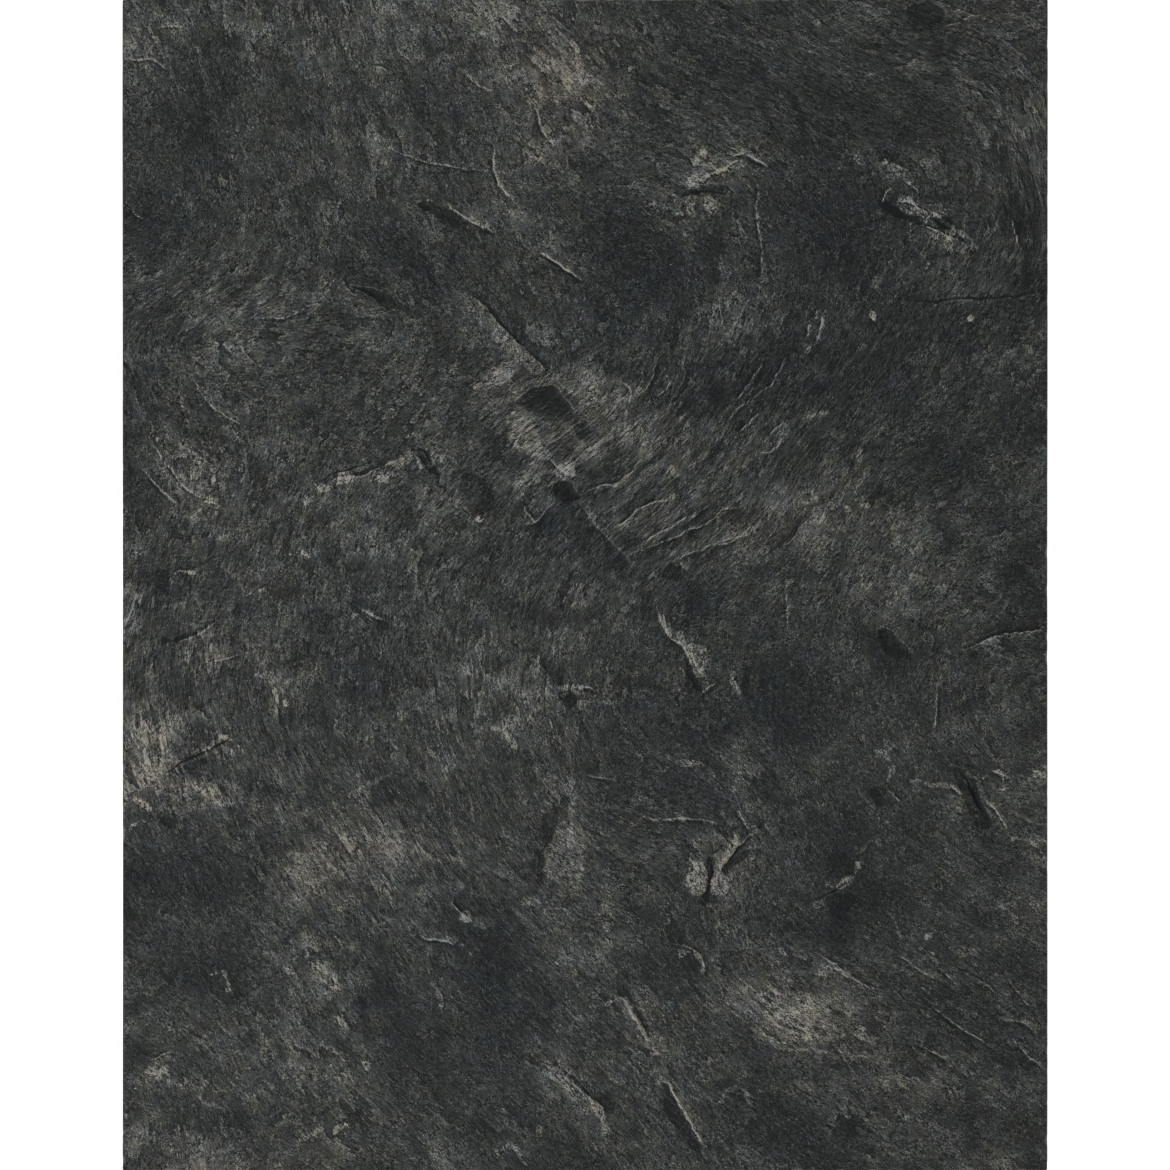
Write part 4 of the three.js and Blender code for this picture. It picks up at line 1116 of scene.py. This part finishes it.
def grain_marks(length, width, octaves, roughness=0.5, turn=0.0, **settings):
    """Marks drawn out along the grain, or turned from it: length and width of one in millimetres."""
    turned = add(
        tree, "ShaderNodeMapping",
        {"Vector": grain_at, "Rotation": (0.0, 0.0, math.radians(turn))}, vector_type="TEXTURE",
    )
    to_the_metre = (1 / (length * MM), 1 / (width * MM), 1.0)
    sized = add(tree, "ShaderNodeVectorMath", {0: turned, 1: to_the_metre}, operation="MULTIPLY")
    return add(
        tree, "ShaderNodeTexNoise",
        {"Vector": sized, "Scale": 1.0, "Detail": octaves, "Roughness": roughness},
        noise_dimensions="2D", **settings,
    )


# The finest real hairs are a quarter of a millimetre wide. They are drawn 1 mm wide, so that they show.
hairs = grain_marks(5.0, 1.0, 1.0, 0.6)
strokes = grain_marks(22.0, 4.2, 3.0, 0.7)
hatching = grain_marks(5.0, 1.1, 1.0, turn=52.0)
counter_hatching = grain_marks(5.0, 1.2, 1.0, turn=-44.0)
threads = grain_marks(30.0, 6.0, 3.0, 0.6, noise_type="RIDGED_MULTIFRACTAL", normalize=False)

# Marks that run alike in every direction: grit of 1.2 mm, also drawn coarser than the real grit,
# fraying of 10 mm, wear of 14 mm and weathering of 18 mm. Scale is how many there are to the metre.
grit = add(
    tree, "ShaderNodeTexNoise", {"Vector": place, "Scale": 820.0, "Detail": 1.0, "Roughness": 0.6}
)
fray = add(
    tree, "ShaderNodeTexNoise", {"Vector": place, "Scale": 100.0, "Detail": 3.0, "Roughness": 0.6},
    out="Color",
)
wear = add(
    tree, "ShaderNodeTexNoise",
    {"Vector": place, "Scale": 70.0, "Detail": 3.0, "Roughness": 0.6, "Distortion": 0.5},
)
weathering = add(
    tree, "ShaderNodeTexNoise", {"Vector": place, "Scale": 55.0, "Detail": 3.0, "Roughness": 0.6}
)

# The drawn lines: a pale crest that fades to both sides, and painted shade in a dark foot just below it.
frayed = add(
    tree, "ShaderNodeVectorMath", {0: fray, 1: (LINE_FRAY,) * 3, 2: gap_at}, operation="MULTIPLY_ADD"
)


def crest(shift, width):
    """Sum over the lines of a rounded crest at a distance from each, weighted by its paleness."""
    middle = (shift * MM + LINE_FRAY / 2,) * 3
    moved = add(tree, "ShaderNodeVectorMath", {0: frayed, 1: middle}, operation="SUBTRACT")
    sized = add(tree, "ShaderNodeVectorMath", {0: moved, 1: (1 / (width * MM),) * 3}, operation="MULTIPLY")
    foot = add(
        tree, "ShaderNodeVectorMath", {0: sized, 1: sized, 2: (1.0,) * 3}, operation="MULTIPLY_ADD"
    )
    inverse = add(tree, "ShaderNodeVectorMath", {0: (1.0,) * 3, 1: foot}, operation="DIVIDE")
    sharp = add(tree, "ShaderNodeVectorMath", {0: inverse, 1: inverse}, operation="MULTIPLY")
    return add(
        tree, "ShaderNodeVectorMath", {0: sharp, 1: glow_at}, operation="DOT_PRODUCT", out="Value"
    )


pale_crest = crest(0.0, 0.8)
shaded_foot = crest(2.3, 1.6)

# Every leaf has its own mottle, which stops at the leaf's ragged edge.
leaves = leaf_pattern(tree, grain_at, LEAF_LENGTH, LEAF_WIDTH)
leaf_climb = add(tree, "ShaderNodeMath", {0: leaves, 1: LEAF_LEVELS}, operation="MULTIPLY")
leaf_number = add(tree, "ShaderNodeMath", {0: leaf_climb}, operation="FLOOR")
leaf_shift = add(tree, "ShaderNodeMath", {0: leaf_number, 1: 0.37}, operation="MULTIPLY")
leaf_place = add(tree, "ShaderNodeCombineXYZ", {"Z": leaf_shift})
on_leaf = add(tree, "ShaderNodeVectorMath", {0: place, 1: leaf_place}, operation="ADD")
mottle = add(
    tree, "ShaderNodeTexNoise",
    {"Vector": on_leaf, "Scale": 26.0, "Detail": 5.0, "Roughness": 0.6, "Distortion": 0.3},
)
scabs = leaf_pattern(tree, grain_at, SCAB_LENGTH, SCAB_WIDTH)


def leaf_light(pattern, levels):
    """Painted light along the brink of each leaf of a pattern, and painted shade at the foot of the next.
    """
    climb = add(tree, "ShaderNodeMath", {0: pattern, 1: levels}, operation="MULTIPLY")
    part = add(tree, "ShaderNodeMath", {0: climb}, operation="FRACT")
    rest = add(tree, "ShaderNodeMath", {0: 1.0, 1: part}, operation="SUBTRACT")
    foot = add(tree, "ShaderNodeMath", {0: part, 1: 4.0}, operation="POWER")
    brink = add(tree, "ShaderNodeMath", {0: rest, 1: 5.0}, operation="POWER")
    dark = add(tree, "ShaderNodeMath", {0: foot, 1: -0.9}, operation="MULTIPLY")
    return add(tree, "ShaderNodeMath", {0: brink, 1: 1.3, 2: dark}, operation="MULTIPLY_ADD")


leaf_shading = leaf_light(leaves, LEAF_LEVELS)
scab_shading = leaf_light(scabs, SCAB_LEVELS)

# The scales, each with a ragged outline.
ragged = add(
    tree, "ShaderNodeVectorMath", {0: fray, 1: (SCALE_FRAY,) * 3, 2: scale_gap_at},
    operation="MULTIPLY_ADD",
)
cover = add(
    tree, "ShaderNodeVectorMath", {0: ragged, 1: (900.0,) * 3, 2: (-2.2,) * 3}, operation="MULTIPLY_ADD"
)
cover = add(tree, "ShaderNodeVectorMath", {0: cover, 1: (0.0,) * 3}, operation="MAXIMUM")
cover = add(tree, "ShaderNodeVectorMath", {0: cover, 1: (1.0,) * 3}, operation="MINIMUM")
scale_level = add(
    tree, "ShaderNodeVectorMath", {0: cover, 1: scale_lift_at}, operation="DOT_PRODUCT", out="Value"
)

# The slow part of the tone, in grey levels. A stain takes on some leaves more than on others.
take = add(
    tree, "ShaderNodeMapRange",
    {"Value": mottle, "From Min": 0.42, "From Max": 0.58, "To Min": 0.8, "To Max": 2.0},
)
level = add(tree, "ShaderNodeMath", {0: lift_at, 1: take, 2: BARE_GREY}, operation="MULTIPLY_ADD")
level = weigh(tree, level, mottle, 0.5, 98.0)
level = add(tree, "ShaderNodeMath", {0: level, 1: scale_level}, operation="ADD")

# The fine marks, each with its middle and its weight, as shares of that tone. They stand out where
# the stone is combed or worn, and on the scales. The leaf and scab edges among them are painted light
# at each brink and painted shade at each foot.
comb_weight = add(tree, "ShaderNodeMath", {0: combed_at, 1: 1.3, 2: 0.15}, operation="MULTIPLY_ADD")
thread_crest = add(
    tree, "ShaderNodeMapRange", {"Value": threads, "From Min": 1.5, "From Max": 2.4, "To Max": 0.34},
    interpolation_type="SMOOTHSTEP",
)
fine = 0.0
for marks, middle, weight in (
    (hairs, 0.5, 1.3), (strokes, 0.5, comb_weight), (hatching, 0.5, 1.2), (counter_hatching, 0.5, 1.2),
    (grit, 0.5, 2.6), (leaf_shading, 0.04, 0.42), (scab_shading, 0.04, 0.38), (thread_crest, 0.0, combed_at),
):
    fine = weigh(tree, fine, marks, middle, weight)
contrast = add(
    tree, "ShaderNodeMapRange",
    {"Value": wear, "From Min": 0.3, "From Max": 0.7, "To Min": 0.28, "To Max": 1.3},
)
scale_strength = add(tree, "ShaderNodeMath", {0: scale_level}, operation="ABSOLUTE")
contrast = add(
    tree, "ShaderNodeMath", {0: scale_strength, 1: 0.008, 2: contrast}, operation="MULTIPLY_ADD"
)
fine = add(tree, "ShaderNodeMath", {0: fine, 1: contrast, 2: 1.0}, operation="MULTIPLY_ADD")
grey = add(tree, "ShaderNodeMath", {0: level, 1: fine}, operation="MULTIPLY")

# On top of it come the crests, in separate strands, the painted shade at their feet, and flecks of bare
# mica.
# Painted shade darkens the floor of a hollow and the foot of a ledge, where little light reaches.
strand = add(
    tree, "ShaderNodeMapRange",
    {"Value": hairs, "From Min": 0.3, "From Max": 0.7, "To Min": 0.1, "To Max": 1.9},
)
strands = add(tree, "ShaderNodeMath", {0: pale_crest, 1: strand}, operation="MULTIPLY")
fleck = add(
    tree, "ShaderNodeMapRange", {"Value": grit, "From Min": 0.7, "From Max": 0.8, "To Max": 60.0}
)
for marks, weight in ((strands, 235.0), (shaded_foot, -60.0), (fleck, contrast)):
    grey = add(tree, "ShaderNodeMath", {0: marks, 1: weight, 2: grey}, operation="MULTIPLY_ADD")
light_left = add(tree, "ShaderNodeMath", {0: shade_at, 1: -0.4, 2: 1.0}, operation="MULTIPLY_ADD")
grey = add(tree, "ShaderNodeMath", {0: grey, 1: light_left}, operation="MULTIPLY")

# The stone leans to brown where it is warm or weathered, to blue where it is bare, and here and there
# to the green of chlorite.
rust = add(tree, "ShaderNodeMath", {0: scale_level, 1: 0.03, 2: warmth_at}, operation="MULTIPLY_ADD")
chlorite = add(tree, "ShaderNodeSeparateXYZ", {0: fray}, out=1)
tint = (0.9, 0.84, 1.235)
for amount, lean in (
    (rust, (0.017, -0.001, -0.014)), (weathering, (0.32, 0.15, -0.34)), (chlorite, (-0.14, 0.2, -0.14)),
):
    amounts = add(tree, "ShaderNodeCombineXYZ", {0: amount, 1: amount, 2: amount})
    tint = add(tree, "ShaderNodeVectorMath", {0: amounts, 1: lean, 2: tint}, operation="MULTIPLY_ADD")
stone_colour = add(
    tree, "ShaderNodeVectorMath", {0: slate_colour(tree, grey), 1: tint}, operation="MULTIPLY"
)

# Besides the marks, the painted shading of the leaves, scabs and crest feet also shapes the bump.
relief_mm = 0.0
for marks, height in (
    (hairs, 0.5), (strokes, 1.2), (hatching, 0.3), (grit, 0.2), (mottle, 1.2), (pale_crest, 1.2),
    (shaded_foot, -0.6), (scab_shading, 0.12), (leaf_shading, 0.2),
):
    relief_mm = add(
        tree, "ShaderNodeMath", {0: marks, 1: height, 2: relief_mm}, operation="MULTIPLY_ADD"
    )
end_finish(tree, stone_colour, relief_mm, 0.8, {"Roughness": 0.66, "Specular IOR Level": 0.15})


# --- Sawn slate, the finish of the four edges ------------------------------------------------------
# The same stone cut across its leaves by a diamond saw: a smooth, lighter grey with the leaves showing
# as fine lines along the edge. It reads as a stack of paper-thin layers.
SAWN_GREY = 60.0  # grey level of the sawn edges
sawn, tree, place = new_finish("sawn slate")
# One layer is 1.6 mm thick and 110 mm long, and the saw's grit is 1.4 mm.
layers = add(tree, "ShaderNodeVectorMath", {0: place, 1: (9.0, 9.0, 620.0)}, operation="MULTIPLY")
layer_marks = add(
    tree, "ShaderNodeTexNoise", {"Vector": layers, "Scale": 1.0, "Detail": 4.0, "Roughness": 0.65}
)
saw_grit = add(tree, "ShaderNodeTexNoise", {"Vector": place, "Scale": 700.0, "Detail": 1.0})
grey = weigh(tree, SAWN_GREY, layer_marks, 0.5, 120.0)
grey = weigh(tree, grey, saw_grit, 0.5, 30.0)
grit_height = add(tree, "ShaderNodeMath", {0: saw_grit, 1: 0.08}, operation="MULTIPLY")
relief_mm = add(
    tree, "ShaderNodeMath", {0: layer_marks, 1: 0.25, 2: grit_height}, operation="MULTIPLY_ADD"
)
end_finish(tree, slate_colour(tree, grey), relief_mm, 0.8, {"Roughness": 0.55})


# --- Gauged slate, the finish of the back ----------------------------------------------------------
# The back was planed to an even thickness by a grinding wheel: paler, with long parallel scratches. It
# reads as matt grey stone, dusty with its own flour.
GAUGED_GREY = 78.0  # grey level of the back
gauged, tree, place = new_finish("gauged slate")
# One scratch is 2.4 mm wide, coarser than the wheel's real grit so that it shows, and 200 mm long.
along = add(tree, "ShaderNodeVectorMath", {0: place, 1: (420.0, 5.0, 1.0)}, operation="MULTIPLY")
scratches = add(
    tree, "ShaderNodeTexNoise", {"Vector": along, "Scale": 1.0, "Detail": 3.0, "Roughness": 0.6}
)
flour = add(tree, "ShaderNodeTexNoise", {"Vector": place, "Scale": 14.0, "Detail": 6.0, "Roughness": 0.6})
grey = weigh(tree, GAUGED_GREY, scratches, 0.5, 60.0)
grey = weigh(tree, grey, flour, 0.5, 50.0)
relief_mm = add(tree, "ShaderNodeMath", {0: scratches, 1: 0.3}, operation="MULTIPLY")
end_finish(tree, slate_colour(tree, grey), relief_mm, 0.7, {"Roughness": 0.7})


# --- Leaves, saw marks and gauging marks -----------------------------------------------------------
# What follows a rule all over the slab is cut by one node tree: stepped leaves and combed ridges on the
# split face, the layers that stand out on the sawn edges, and the passes of the gauging wheel below.
CUT_SIZES = {
    "Leaf Length": LEAF_LENGTH,
    "Leaf Width": LEAF_WIDTH,
    "Leaf Thickness": 0.32 * MM,
    "Comb Width": 6 * MM,
    "Comb Depth": 1.2 * MM,
    "Layer Thickness": 1.9 * MM,
    "Layer Depth": 0.9 * MM,
    "Gauge Width": 24 * MM,
    "Gauge Depth": 0.3 * MM,
}
COMB_STRETCH = 8.0  # length of a combed ridge for its width
LAYER_LENGTH = 60 * MM
TRIANGLES = 190_000
SHARP = 38  # degrees past which an edge is sharp

cut = bpy.data.node_groups.new("cut slate", "GeometryNodeTree")
cut.interface.new_socket("Geometry", in_out="INPUT", socket_type="NodeSocketGeometry")
for name in CUT_SIZES:
    cut.interface.new_socket(name, in_out="INPUT", socket_type="NodeSocketFloat")
cut.interface.new_socket("Geometry", in_out="OUTPUT", socket_type="NodeSocketGeometry")
given = add(cut, "NodeGroupInput", out=None).outputs
blank_has = {
    name: add(cut, "GeometryNodeInputNamedAttribute", {"Name": name}, data_type=kind)
    for name, kind in (
        ("grain", "FLOAT_VECTOR"), ("combed", "FLOAT"), ("on_face", "FLOAT"), ("on_back", "FLOAT"),
        ("side_way", "FLOAT_VECTOR"), ("finish", "INT"),
    )
}

# Each leaf is one level of its pattern, and the stone climbs to the next in a short riser.
leaves = leaf_pattern(cut, blank_has["grain"], given["Leaf Length"], given["Leaf Width"])
leaf_climb = add(cut, "ShaderNodeMath", {0: leaves, 1: LEAF_LEVELS}, operation="MULTIPLY")
leaf_number = add(cut, "ShaderNodeMath", {0: leaf_climb}, operation="FLOOR")
leaf_whole = add(cut, "ShaderNodeMath", {0: leaf_number, 1: LEAF_LEVELS / 2}, operation="SUBTRACT")
leaf_part = add(cut, "ShaderNodeMath", {0: leaf_climb}, operation="FRACT")
riser = add(
    cut, "ShaderNodeMapRange", {"Value": leaf_part, "From Min": 0.02, "From Max": 0.22},
    interpolation_type="SMOOTHSTEP",
)
leaf_level = add(cut, "ShaderNodeMath", {0: leaf_whole, 1: riser}, operation="ADD")
comb_length = add(cut, "ShaderNodeMath", {0: given["Comb Width"], 1: COMB_STRETCH}, operation="MULTIPLY")
comb_size = add(cut, "ShaderNodeCombineXYZ", {"X": comb_length, "Y": given["Comb Width"], "Z": 1.0})
comb_place = add(cut, "ShaderNodeVectorMath", {0: blank_has["grain"], 1: comb_size}, operation="DIVIDE")
comb_marks = add(
    cut, "ShaderNodeTexNoise", {"Vector": comb_place, "Scale": 1.0, "Detail": 2.0, "Roughness": 0.6},
    noise_dimensions="2D",
)
comb = add(cut, "ShaderNodeMath", {0: comb_marks, 1: 0.5}, operation="SUBTRACT")
comb = add(cut, "ShaderNodeMath", {0: comb, 1: blank_has["combed"]}, operation="MULTIPLY")
comb_rise = add(cut, "ShaderNodeMath", {0: comb, 1: given["Comb Depth"]}, operation="MULTIPLY")
face_rise = add(
    cut, "ShaderNodeMath", {0: leaf_level, 1: given["Leaf Thickness"], 2: comb_rise},
    operation="MULTIPLY_ADD",
)
face_rise = add(cut, "ShaderNodeMath", {0: face_rise, 1: blank_has["on_face"]}, operation="MULTIPLY")

# Each pass of the gauging wheel left a flat arc, highest in the middle of the pass.
where = add(cut, "GeometryNodeInputPosition")
where_x = add(cut, "ShaderNodeSeparateXYZ", {0: where}, out="X")
arc = add(cut, "ShaderNodeMath", {0: where_x, 1: given["Gauge Width"]}, operation="DIVIDE")
for operation, value in (
    ("FRACT", 0.0), ("SUBTRACT", 0.5), ("MULTIPLY", 2.0), ("POWER", 2.0), ("SUBTRACT", 1.0),
    ("MULTIPLY", -1.0),
):
    arc = add(cut, "ShaderNodeMath", {0: arc, 1: value}, operation=operation)
back_rise = add(cut, "ShaderNodeMath", {0: arc, 1: given["Gauge Depth"]}, operation="MULTIPLY")
back_rise = add(cut, "ShaderNodeMath", {0: back_rise, 1: blank_has["on_back"]}, operation="MULTIPLY")
rise = add(cut, "ShaderNodeMath", {0: face_rise, 1: back_rise}, operation="ADD")
rise = add(cut, "ShaderNodeCombineXYZ", {"Z": rise})

# The softer layers of the stone wore back a little under the saw.
layer_size = add(
    cut, "ShaderNodeCombineXYZ", {"X": LAYER_LENGTH, "Y": LAYER_LENGTH, "Z": given["Layer Thickness"]}
)
layer_place = add(cut, "ShaderNodeVectorMath", {0: where, 1: layer_size}, operation="DIVIDE")
layer_marks = add(
    cut, "ShaderNodeTexNoise", {"Vector": layer_place, "Scale": 1.0, "Detail": 2.0, "Roughness": 0.6}
)
layer_push = add(cut, "ShaderNodeMath", {0: layer_marks, 1: 0.62}, operation="SUBTRACT")
layer_push = add(cut, "ShaderNodeMath", {0: layer_push, 1: given["Layer Depth"]}, operation="MULTIPLY")
push = add(
    cut, "ShaderNodeVectorMath", {0: blank_has["side_way"], "Scale": layer_push}, operation="SCALE"
)
offset = add(cut, "ShaderNodeVectorMath", {0: rise, 1: push}, operation="ADD")
moved = add(cut, "GeometryNodeSetPosition", {"Geometry": given["Geometry"], "Offset": offset})
solid = add(cut, "GeometryNodeRealizeInstances", {"Geometry": moved})
for number, finish in ((SPLIT, riven), (SAWN, sawn), (GAUGED, gauged)):
    chosen = add(
        cut, "FunctionNodeCompare", {2: blank_has["finish"], 3: number}, data_type="INT",
        operation="EQUAL",
    )
    solid = add(
        cut, "GeometryNodeSetMaterial", {"Geometry": solid, "Selection": chosen, "Material": finish}
    )
add(cut, "NodeGroupOutput", {"Geometry": solid}, out=None)

cutting = slab.modifiers.new("cut slate", "NODES")
cutting.node_group = cut
for socket in cut.interface.items_tree:
    if socket.in_out == "INPUT" and socket.name in CUT_SIZES:
        cutting[socket.identifier] = CUT_SIZES[socket.name]

# The net is thinned where the stone is even, so that its points lie along the ledges and leaves.
thinning = slab.modifiers.new("thinning", "DECIMATE")
thinning.ratio = TRIANGLES / (2 * len(faces))
thinning.use_collapse_triangulate = True
thinning.vertex_group = "plain"
bpy.context.view_layer.update()
evaluated = slab.evaluated_get(bpy.context.evaluated_depsgraph_get())
finished = bpy.data.meshes.new_from_object(evaluated)
slab.modifiers.clear()
slab.data = finished
finished.name = "split_slab"
finished.shade_smooth()
finished.set_sharp_from_angle(angle=math.radians(SHARP))

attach(slab, "root")
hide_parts("slate_slab")


# --- Floor, light and camera -----------------------------------------------------------------------
# A plain white studio floor, two large soft lights low on either side, and a camera straight above
# whose frame the slab's length fills.
FLOOR_REACH, FLOOR_DROP = 8, 0.2 * MM  # half the side of the floor, and how far it lies below the slab
CAMERA_HEIGHT = 3200 * MM  # above the split face
FRAME = 2 * (HALF_LENGTH - 1) * MM  # what the frame shows, 1 mm less than the slab at each end

floor_mesh = bpy.data.meshes.new("floor")
corners = [(-1, -1), (1, -1), (1, 1), (-1, 1)]
floor_mesh.from_pydata(
    [(FLOOR_REACH * x, FLOOR_REACH * y, -FLOOR_DROP) for x, y in corners], [], [(0, 1, 2, 3)]
)
floor = bpy.data.objects.new("floor", floor_mesh)
bpy.context.scene.collection.objects.link(floor)
paper = bpy.data.materials.new("white paper")
paper.use_nodes = True
for name, value in (
    ("Base Color", hex_to_linear("#F4F4F2")), ("Roughness", 0.9), ("Emission Color", (1, 1, 1, 1)),
    ("Emission Strength", 0.75),
):
    paper.node_tree.nodes["Principled BSDF"].inputs[name].default_value = value
floor_mesh.materials.append(paper)

# Square area lights that face the slab: place, side in metres, watts.
for name, place, side, watts in (
    ("key light", (-6.5, -4.2, 4.75), 3.75, 737), ("fill light", (5.2, 3.2, 5.2), 4.4, 160),
):
    lamp = bpy.data.lights.new(name, "AREA")
    lamp.size = side
    lamp.energy = watts
    holder = bpy.data.objects.new(name, lamp)
    holder.location = place
    holder.rotation_euler = (-Vector(place)).to_track_quat("-Z", "Y").to_euler()
    bpy.context.scene.collection.objects.link(holder)
world = bpy.data.worlds.new("studio")
world.use_nodes = True
world.node_tree.nodes["Background"].inputs["Color"].default_value = (1, 1, 1, 1)
world.node_tree.nodes["Background"].inputs["Strength"].default_value = 0.25
bpy.context.scene.world = world
bpy.context.scene.view_settings.view_transform = "Standard"

camera = bpy.data.cameras.new("camera")
camera.sensor_width = 36
camera.lens = camera.sensor_width * CAMERA_HEIGHT / FRAME
camera_holder = bpy.data.objects.new("camera", camera)
camera_holder.location = (0, 0, THICKNESS * MM + CAMERA_HEIGHT)
bpy.context.scene.collection.objects.link(camera_holder)
bpy.context.scene.camera = camera_holder
